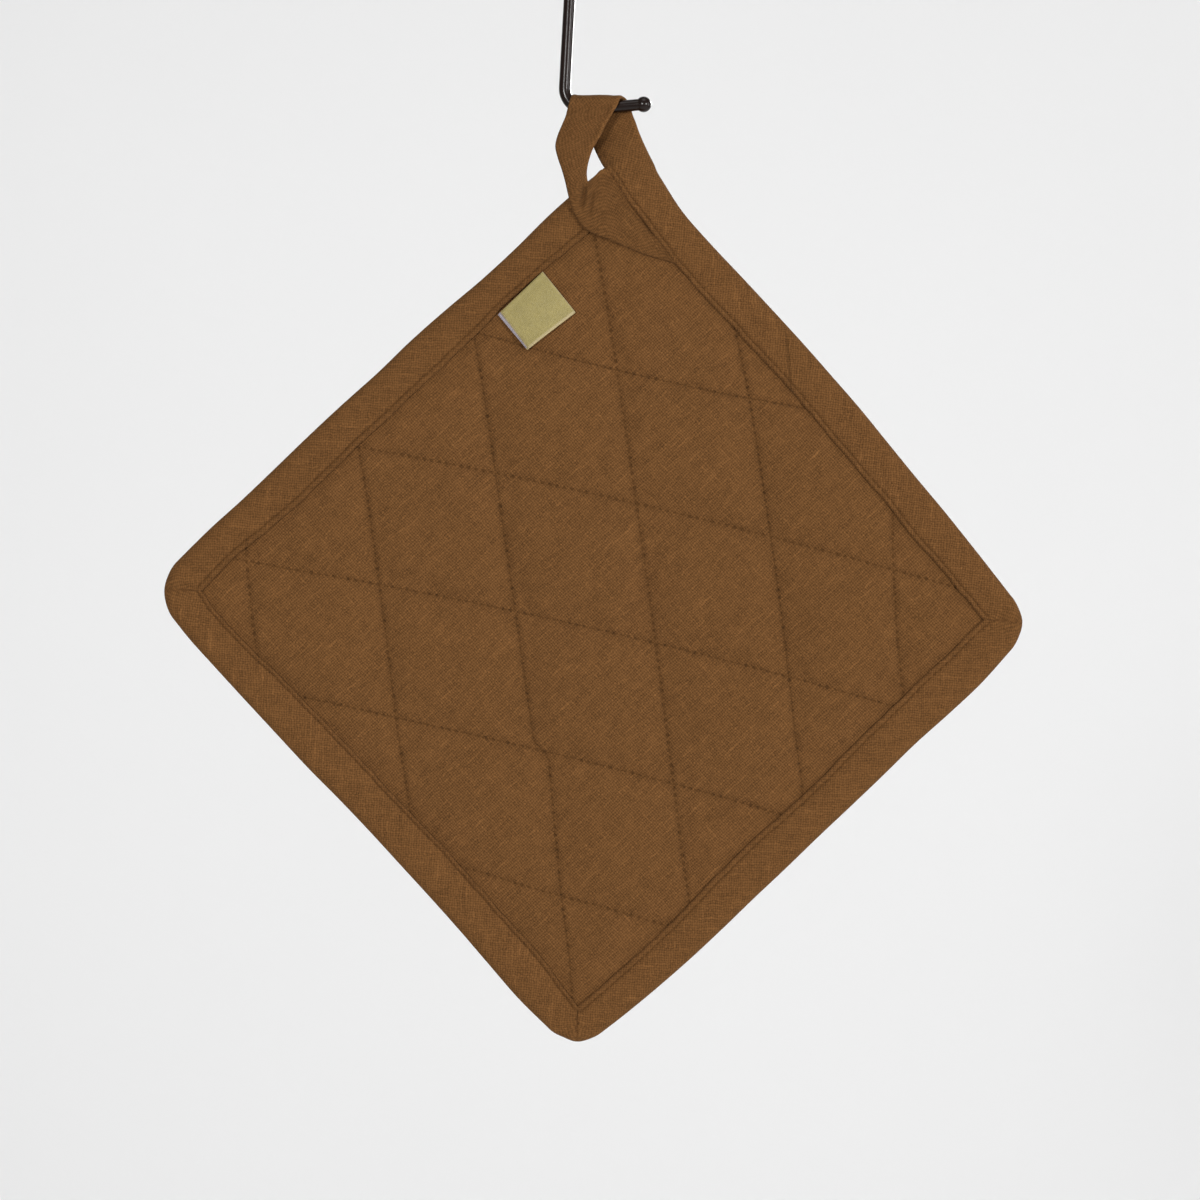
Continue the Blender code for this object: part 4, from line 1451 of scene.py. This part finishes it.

# How much each mark lightens or darkens the linen. Most are painted light and shade:
# painted shade in the needle holes, along the quilting and topstitched lines, beside the seam,
# at the strip's lips and in the loop's creases, with painted light on the creases' ridges; a
# painted highlight on the strip's fold edge; and painted shade, shadow and light on the loop.
# The join is a dark joint.
PANEL_HOLE_PAINTED_SHADE = -0.42
PANEL_LINE_PAINTED_SHADE = -0.13
PANEL_SEAM_PAINTED_SHADE = -0.05
LEVEL_LINE_SHARE = 0.6
STRIP_HOLE_PAINTED_SHADE = -0.24
STRIP_LINE_PAINTED_SHADE = -0.14
LIP_PAINTED_SHADE = -0.08
FOLD_PAINTED_LIGHT = 0.07
JOIN_SHADE = -0.22
CREASE_PAINTED_SHADE = -0.12
UPPER_LEFT_SHADE = -0.045
LOOP_PAINTED_SHADE = -0.03
LOOP_PAINTED_SHADOW = -0.19
LOOP_TURNED_PAINTED_SHADE = -0.07
LOOP_RIM_PAINTED_LIGHT = 0.16

# How deep the marks are, in millimetres.
PANEL_HOLE_DEEP = -0.30
PANEL_LINE_DEEP = -0.12
JOIN_DEEP = -0.25
SEWN_DEEP = 0.7

# How far from an edge or a line a mark starts to fade, and where it ends.
PANEL_LINE_REACH = (0.1, 2.2)
SEAM_REACH = (0.0, 5.0)
LIP_REACH = (1.0, 3.2)
FOLD_LIGHT_REACH = (0.5, 3.6)
LOOP_SHADOW_REACH = (1.0, 9.5)
LOOP_RIM_LIGHT_REACH = (0.7, 2.4)
JOIN_REACH = (0.1, 0.75)
JOIN_END_REACH = (12.5, 14.5)
STRIP_LINE_REACH = (0.15, 0.85)
STRIP_HOLE_REACH = (0.2, 0.6)

# Where two lengths of the strip are joined, along its map, and how the join leans.
JOIN_RUN = 2 * MAP_APART + 102.0
JOIN_LEAN = 1.3
JOIN_SLANT = math.hypot(1.0, JOIN_LEAN)

# The upper left length of the strip is a shade darker: where it starts along the map.
UPPER_LEFT_RUN = (3 * MAP_APART - 20.0, 3 * MAP_APART - 15.0)

# The other finishes.
THREAD_COLOUR = (0.098, 0.043, 0.0125)
SATIN_COLOUR = (0.335, 0.272, 0.090)
SATIN_RIM_COLOUR = (0.52, 0.42, 0.25)
SELVEDGE_COLOUR = (0.40, 0.36, 0.40)
SATIN_RIB_PITCH = 0.36
SATIN_CROSS_PITCH = 0.5
SATIN_RIM_REACH = (0.15, 0.7)
SATIN_RIM_SHARE = 0.6
SELVEDGE_REACH = (1.5, 2.2)
FRONT_UP_TO = (TAB_LONG - 0.6, TAB_LONG - 0.2)
HOOK_COLOUR = (0.0095, 0.0032, 0.0014)
HOOK_GLOSS = 0.34


def streaks(recipe, across, along, streak):
    """Noise drawn out along the threads, one lump to a thread the other way."""
    stretched = (recipe.times(across, streak.across), recipe.times(along, streak.along))
    return recipe.noise(recipe.vector(*stretched, streak.own_noise), 1.0, 1.0)


def linen_weave(recipe, across, along):
    """A plain slubby weave: its brightness and its height, from places in millimetres."""
    spot = recipe.vector(across, along)
    wobble = recipe.noise(spot, WOBBLE_SCALE, 2.0)
    other = recipe.noise(recipe.vector(along, across, 5.0), WOBBLE_SCALE, 2.0)
    warp = recipe.mix(recipe.maths("DIVIDE", across, WARP_PITCH), (wobble, WOBBLE))
    weft = recipe.mix(recipe.maths("DIVIDE", along, WEFT_PITCH), (other, WOBBLE))
    warp_thread = recipe.maths("ROUND", warp)
    weft_thread = recipe.maths("ROUND", weft)
    ridge_warp = recipe.maths("COSINE", recipe.times(warp, 2.0 * math.pi))
    ridge_weft = recipe.maths("COSINE", recipe.times(weft, 2.0 * math.pi))
    pillow = recipe.mix(0.5, (recipe.maths("ADD", ridge_warp, ridge_weft), 0.25))
    crossing = recipe.maths("ABSOLUTE", recipe.maths("ADD", warp_thread, weft_thread))
    weft_over = recipe.maths("MODULO", crossing, 2.0)
    warp_tone = streaks(recipe, warp_thread, weft, WARP_STREAK)
    weft_tone = streaks(recipe, warp, weft_thread, WEFT_STREAK)
    top_tone = recipe.mix(warp_tone, (recipe.maths("SUBTRACT", weft_tone, warp_tone), weft_over))
    slub = recipe.ramp(streaks(recipe, warp, weft_thread, SLUB_STREAK), *SLUB_FROM)
    thin = recipe.ramp(streaks(recipe, warp_thread, weft, THIN_STREAK), *THIN_FROM)
    mottle = recipe.noise(spot, *MOTTLE_NOISE)
    grain = recipe.noise(spot, *GRAIN_NOISE)
    weave = Weave(pillow, top_tone, weft_tone, slub, thin, mottle, grain)
    tone = recipe.mix(WEAVE_TONE_BASE, *zip(weave, WEAVE_TONE))
    height = recipe.mix(0.0, *(pair for pair in zip(weave, WEAVE_HEIGHT) if pair[1]))
    return tone, height


def needle_holes(recipe, run, off, pitch):
    """Needle holes of uneven size, one to each pitch along a line of stitches."""
    step = recipe.maths("DIVIDE", run, pitch)
    whole = recipe.maths("ROUND", step)
    gap = recipe.times(recipe.maths("SUBTRACT", step, whole), pitch)
    luck = recipe.chance(whole)
    gap_square = recipe.times(gap, recipe.times(gap, HOLE_DRAWN))
    far = recipe.maths("SQRT", recipe.maths("ADD", gap_square, recipe.times(off, off)))
    reach, strength = (recipe.mix(least, (luck, more)) for least, more in (HOLE_REACH, HOLE_STRENGTH))
    return recipe.times(recipe.near(far, HOLE_CORE, reach), strength)


def linen_panel():
    """Brown slub linen for the pad's faces, its threads along the pad's sides, quilted, with painted
    shade in the needle holes, along the quilting lines and beside the seam.
    """
    recipe = Recipe("brown_linen_panel", LINEN_COLOUR, LINEN_ROUGHNESS)
    across, _, along = recipe.parts(recipe.place(1.0 / MM, (0.0, PANEL_TURN, 0.0)))
    tone, height = linen_weave(recipe, across, along)
    holes, lines = [], []
    for name, share in (("steep_stitches", 1.0), ("level_stitches", LEVEL_LINE_SHARE)):
        run, off, _ = recipe.parts(recipe.map(name))
        holes.append(needle_holes(recipe, run, off, QUILT_PITCH))
        line = recipe.near(recipe.maths("ABSOLUTE", off), *PANEL_LINE_REACH)
        lines.append(recipe.times(line, share))
    hole = recipe.maths("MAXIMUM", *holes)
    line = recipe.maths("MAXIMUM", *lines)
    gap, _, _ = recipe.parts(recipe.map("seam_gap"))
    seam = recipe.near(gap, *SEAM_REACH)
    # Painted shade: darker in the needle holes, along the quilting grooves and beside the binding's
    # seam.
    painted_shades = (hole, PANEL_HOLE_PAINTED_SHADE), (line, PANEL_LINE_PAINTED_SHADE), (seam, PANEL_SEAM_PAINTED_SHADE)
    recipe.tint(LINEN_COLOUR, recipe.times(tone, recipe.mix(1.0, *painted_shades)))
    recipe.relief(recipe.mix(height, (hole, PANEL_HOLE_DEEP), (line, PANEL_LINE_DEEP)))
    linen_finish(recipe)
    return recipe.material


def linen_finish(recipe):
    """Dull yarn with a little fuzz."""
    recipe.shader.inputs["Specular IOR Level"].default_value = LINEN_GLOSS
    recipe.sheen(0.10, 0.5, (0.9, 0.6, 0.35))


def strip_join(recipe, run, reach):
    """The slanted line where two lengths of the strip are joined, on the front alone."""
    slant = (run, 1.0 / JOIN_SLANT), (reach, -JOIN_LEAN / JOIN_SLANT)
    off_join = recipe.mix(-JOIN_RUN / JOIN_SLANT, *slant)
    join = recipe.near(recipe.maths("ABSOLUTE", off_join), *JOIN_REACH)
    return recipe.times(join, recipe.near(reach, *JOIN_END_REACH))


def topstitching(recipe, run):
    """The binding's stitched line and its needle holes, as one painted shade, here strong, there
    faint.
    """
    phase, off, _ = recipe.parts(recipe.map("topstitch"))
    off_line = recipe.maths("ABSOLUTE", off)
    luck = recipe.noise(recipe.vector(run, 4.0), *LUCK_NOISE)
    line = recipe.times(recipe.near(off_line, *STRIP_LINE_REACH), luck)
    on_hole = recipe.ramp(phase, *HOLE_PHASE)
    hole = recipe.times(recipe.near(off_line, *STRIP_HOLE_REACH), on_hole)
    hole = recipe.times(hole, recipe.ramp(luck, *HOLE_LUCK))
    return recipe.mix(0.0, (line, STRIP_LINE_PAINTED_SHADE), (hole, STRIP_HOLE_PAINTED_SHADE))


def linen_strip():
    """The same linen cut on the slant, for the binding and the loop, with painted light and shade on
    it.
    """
    recipe = Recipe("brown_linen_strip", LINEN_COLOUR, LINEN_ROUGHNESS)
    run, reach, _ = recipe.parts(recipe.map("strip"))
    on_slant = recipe.place(1.0, (0.0, 0.0, STRIP_TURN), recipe.map("strip"))
    across, along, _ = recipe.parts(on_slant)
    tone, height = linen_weave(recipe, across, along)
    from_fold, from_lip, _ = recipe.parts(recipe.map("edges"))
    near_fold = recipe.maths("ABSOLUTE", from_fold)
    creased, loop, _ = recipe.parts(recipe.map("loop"))
    # Painted light and shade on the loop: a little darker all over, a painted shadow of the front
    # strand on the back strand's inner part, darker on the face turned past the fold, and a painted
    # highlight along the rim of its fold.
    loop_painted_light = recipe.mix(
        LOOP_PAINTED_SHADE,
        (recipe.near(reach, *LOOP_SHADOW_REACH), LOOP_PAINTED_SHADOW),
        (recipe.ramp(from_fold, 0.0, 1.0), LOOP_TURNED_PAINTED_SHADE),
        (recipe.near(near_fold, *LOOP_RIM_LIGHT_REACH), LOOP_RIM_PAINTED_LIGHT),
    )
    on_pad = recipe.maths("SUBTRACT", 1.0, loop)
    join = strip_join(recipe, run, reach)
    sewn = recipe.times(topstitching(recipe, run), on_pad)
    upper_left = recipe.times(on_pad, recipe.ramp(run, *UPPER_LEFT_RUN))
    marks = recipe.mix(
        1.0,
        # Painted shade along the topstitched line and in its needle holes.
        (sewn, 1.0),
        # Painted shade beside the strip's lips.
        (recipe.near(from_lip, *LIP_REACH), LIP_PAINTED_SHADE),
        # A painted highlight along the strip's fold edge.
        (recipe.near(near_fold, *FOLD_LIGHT_REACH), FOLD_PAINTED_LIGHT),
        (join, JOIN_SHADE),
        # The painted light and shade of the loop, on the loop alone.
        (loop_painted_light, loop),
        # Painted shade in the loop's creases, and painted light on its ridges.
        (creased, CREASE_PAINTED_SHADE),
        (upper_left, UPPER_LEFT_SHADE),
    )
    recipe.tint(LINEN_COLOUR, recipe.times(tone, marks))
    recipe.relief(recipe.mix(height, (join, JOIN_DEEP), (sewn, SEWN_DEEP)))
    linen_finish(recipe)
    return recipe.material


def sewing_thread():
    """Matching thread, a little darker than the linen, twisted."""
    recipe = Recipe("brown_thread", THREAD_COLOUR, 0.75)
    recipe.shader.inputs["Specular IOR Level"].default_value = LINEN_GLOSS
    grain = recipe.noise(recipe.place(1.0 / MM), 3.0, 2.0)
    recipe.tint(THREAD_COLOUR, recipe.mix(0.6, (grain, 0.8)))
    return recipe.material


def label_satin():
    """Olive gold satin ribbon with a fine pale rim, and a lilac grey selvedge at one side."""
    recipe = Recipe("olive_satin", SATIN_COLOUR, 0.42)
    across, along, _ = recipe.parts(recipe.map("ribbon"))
    rib = recipe.maths("SINE", recipe.times(along, 2.0 * math.pi / SATIN_RIB_PITCH))
    cross_rib = recipe.maths("SINE", recipe.times(across, 2.0 * math.pi / SATIN_CROSS_PITCH))
    grain = recipe.noise(recipe.vector(across, recipe.times(along, 5.0)), 1.1, 3.0, 0.65)
    cloud = recipe.noise(recipe.vector(across, along), 0.28, 2.0)
    tone = recipe.mix(0.42, (rib, 0.05), (cross_rib, 0.03), (grain, 0.75), (cloud, 0.32))
    from_edge = recipe.maths("MINIMUM", across, recipe.maths("SUBTRACT", TAB_WIDE, across))
    from_fold = recipe.maths("ABSOLUTE", recipe.maths("SUBTRACT", along, TAB_LONG))
    rim = recipe.near(recipe.maths("MINIMUM", from_edge, from_fold), *SATIN_RIM_REACH)
    before_fold = recipe.near(along, *FRONT_UP_TO)
    selvedge = recipe.times(before_fold, recipe.near(across, *SELVEDGE_REACH))
    body = recipe.blend(SATIN_COLOUR, SATIN_RIM_COLOUR, recipe.times(rim, SATIN_RIM_SHARE))
    body = recipe.blend(body, SELVEDGE_COLOUR, selvedge)
    recipe.tint(body, tone)
    recipe.relief(recipe.mix(0.0, (rib, 0.03), (cross_rib, 0.02), (grain, 0.08)))
    recipe.sheen(0.2, 0.3, (0.9, 0.85, 0.6))
    return recipe.material


def hook_black():
    """Black satin lacquer on steel wire."""
    recipe = Recipe("black_lacquer", HOOK_COLOUR, 0.26)
    recipe.shader.inputs["Specular IOR Level"].default_value = HOOK_GLOSS
    place = recipe.place(1.0 / MM)
    fine = recipe.noise(place, 1.1, 3.0)
    broad = recipe.noise(place, 0.12, 2.0)
    recipe.tint(HOOK_COLOUR, recipe.mix(0.6, (broad, 0.8)))
    recipe.plug(recipe.mix(0.19, (fine, 0.12)), recipe.shader.inputs["Roughness"])
    recipe.relief(recipe.mix(0.0, (fine, 0.02)))
    return recipe.material


# ------------------------------------------------------------------ the studio

# The camera, in millimetres.
FRAME_SIDE = 413.1
CAMERA_PLACE = (10.1, -218.6)
CAMERA_AWAY = 1300.0
SENSOR = 36.0

# The floor and the lamps, in metres, watts and degrees.
FLOOR_SIDE = 8.0
FLOOR_MIDDLE = (0.0, -1.9, -1.3)
FLOOR_BACK = 3.9
WALL_HIGH = 4.0
SWEEP_RADIUS = 0.5
SWEEP_STEPS = 12
PALE = (0.92, 0.92, 0.92)
ROOM_LIGHT = 0.24
CLOTH_AT = (0.01, 0.0, -0.2)
Lamp = namedtuple("Lamp", "name place aim size power spread")
LAMPS = (
    Lamp("right_front", (1.85, -2.25, 0.05), CLOTH_AT, (0.6, 0.6), 36.0, 180.0),
    Lamp("left_front", (-0.72, -1.80, 0.05), CLOTH_AT, (0.32, 0.32), 16.9, 180.0),
    Lamp("right_side", (1.7, -0.35, -0.05), CLOTH_AT, (0.5, 0.9), 5.4, 180.0),
    Lamp("above", (0.1, -0.7, 1.5), CLOTH_AT, (1.2, 1.2), 6.5, 180.0),
    Lamp("behind", (0.9, 1.6, 0.3), CLOTH_AT, (0.6, 0.6), 1.6, 40.0),
    Lamp("backdrop_left", (-1.2, 0.75, -0.24), (0.15, 2.1, -0.24), (0.8, 2.8), 7.1, 120.0),
    Lamp("backdrop_right", (1.2, 0.75, -0.24), (-0.15, 2.1, -0.24), (0.8, 2.8), 7.1, 120.0),
)


def pale_studio():
    """A pale matt finish for the floor and the wall."""
    recipe = Recipe("pale_studio", PALE, 0.95)
    fine = recipe.noise(recipe.place(1.0), 3.0, 2.0)
    recipe.tint(PALE, recipe.mix(0.99, (fine, 0.02)))
    return recipe.material


def select_edges(mesh, wanted):
    """Select alone the edges of a mesh in edit mode whose two ends are wanted."""
    bpy.ops.mesh.select_all(action="DESELECT")
    for edge in mesh.edges:
        edge.select_set(all(wanted(vert.co) for vert in edge.verts))


def make_sweep():
    """A pale floor that turns up into a wall far behind."""
    deselect_all()
    bpy.ops.mesh.primitive_plane_add(size=FLOOR_SIDE, location=FLOOR_MIDDLE)
    floor = bpy.context.object
    floor.name = "studio_floor"
    bpy.ops.object.mode_set(mode="EDIT")
    select_edges(bmesh.from_edit_mesh(floor.data), lambda place: place.y > FLOOR_BACK)
    bmesh.update_edit_mesh(floor.data)
    bpy.ops.mesh.extrude_region_move(TRANSFORM_OT_translate={"value": (0.0, 0.0, WALL_HIGH)})
    select_edges(
        bmesh.from_edit_mesh(floor.data),
        lambda place: place.y > FLOOR_BACK and place.z < WALL_HIGH / 2.0,
    )
    bmesh.update_edit_mesh(floor.data)
    bpy.ops.mesh.bevel(offset=SWEEP_RADIUS, segments=SWEEP_STEPS, profile=0.5)
    bpy.ops.object.mode_set(mode="OBJECT")
    look(floor, pale_studio())
    only(floor)
    bpy.ops.object.transform_apply(location=True, rotation=True, scale=True)


def add_lamp(lamp):
    """A soft square lamp that the camera doesn't see."""
    light = bpy.data.lights.new(lamp.name, "AREA")
    light.shape = "RECTANGLE"
    light.size, light.size_y = lamp.size
    light.energy = lamp.power
    light.spread = math.radians(lamp.spread)
    holder = bpy.data.objects.new(lamp.name, light)
    bpy.context.scene.collection.objects.link(holder)
    holder.location = lamp.place
    holder.rotation_mode = "QUATERNION"
    holder.rotation_quaternion = (Vector(lamp.aim) - Vector(lamp.place)).to_track_quat("-Z", "Y")
    holder.visible_camera = False


def make_studio():
    """The pale room, its lamps, the sweep and the camera."""
    world = bpy.data.worlds.new("pale_room")
    bpy.context.scene.world = world
    world.use_nodes = True
    backdrop = world.node_tree.nodes["Background"]
    backdrop.inputs["Color"].default_value = (1.0, 1.0, 1.0, 1.0)
    backdrop.inputs["Strength"].default_value = ROOM_LIGHT
    for lamp in LAMPS:
        add_lamp(lamp)
    make_sweep()
    lens = bpy.data.cameras.new("camera")
    lens.sensor_width = SENSOR
    lens.lens = SENSOR * CAMERA_AWAY / FRAME_SIDE
    lens.clip_start = 0.05
    lens.clip_end = 30.0
    camera = bpy.data.objects.new("camera", lens)
    bpy.context.scene.collection.objects.link(camera)
    camera.location = (CAMERA_PLACE[0] * MM, -CAMERA_AWAY * MM, CAMERA_PLACE[1] * MM)
    camera.rotation_euler = (math.radians(90.0), 0.0, 0.0)
    bpy.context.scene.camera = camera
    bpy.context.scene.view_settings.view_transform = "Standard"


# ------------------------------------------------------------------ putting it together

panel_linen = linen_panel()
strip_linen = linen_strip()
thread = sewing_thread()

pad = make_pad(panel_linen)
strip, edge_threads = make_strip(strip_linen)
label = make_label(label_satin())
hook = make_hook(hook_black())

pad_skin = surface_of(pad)
quilt_stitches = quilt_threads(pad_skin, -1.0) + quilt_threads(pad_skin, 1.0)
quilting = join_stitches("quilting_stitches", quilt_stitches, thread, QUILT_SEED)
edging = join_stitches("binding_stitches", edge_threads, thread, EDGE_SEED)

for piece in (pad, strip, label, hook, quilting, edging):
    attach(piece, ROOT)
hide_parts("quilted_pad")
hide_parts("binding", "hanging_loop")
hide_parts("label_tab")
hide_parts("hook_wire")

make_studio()
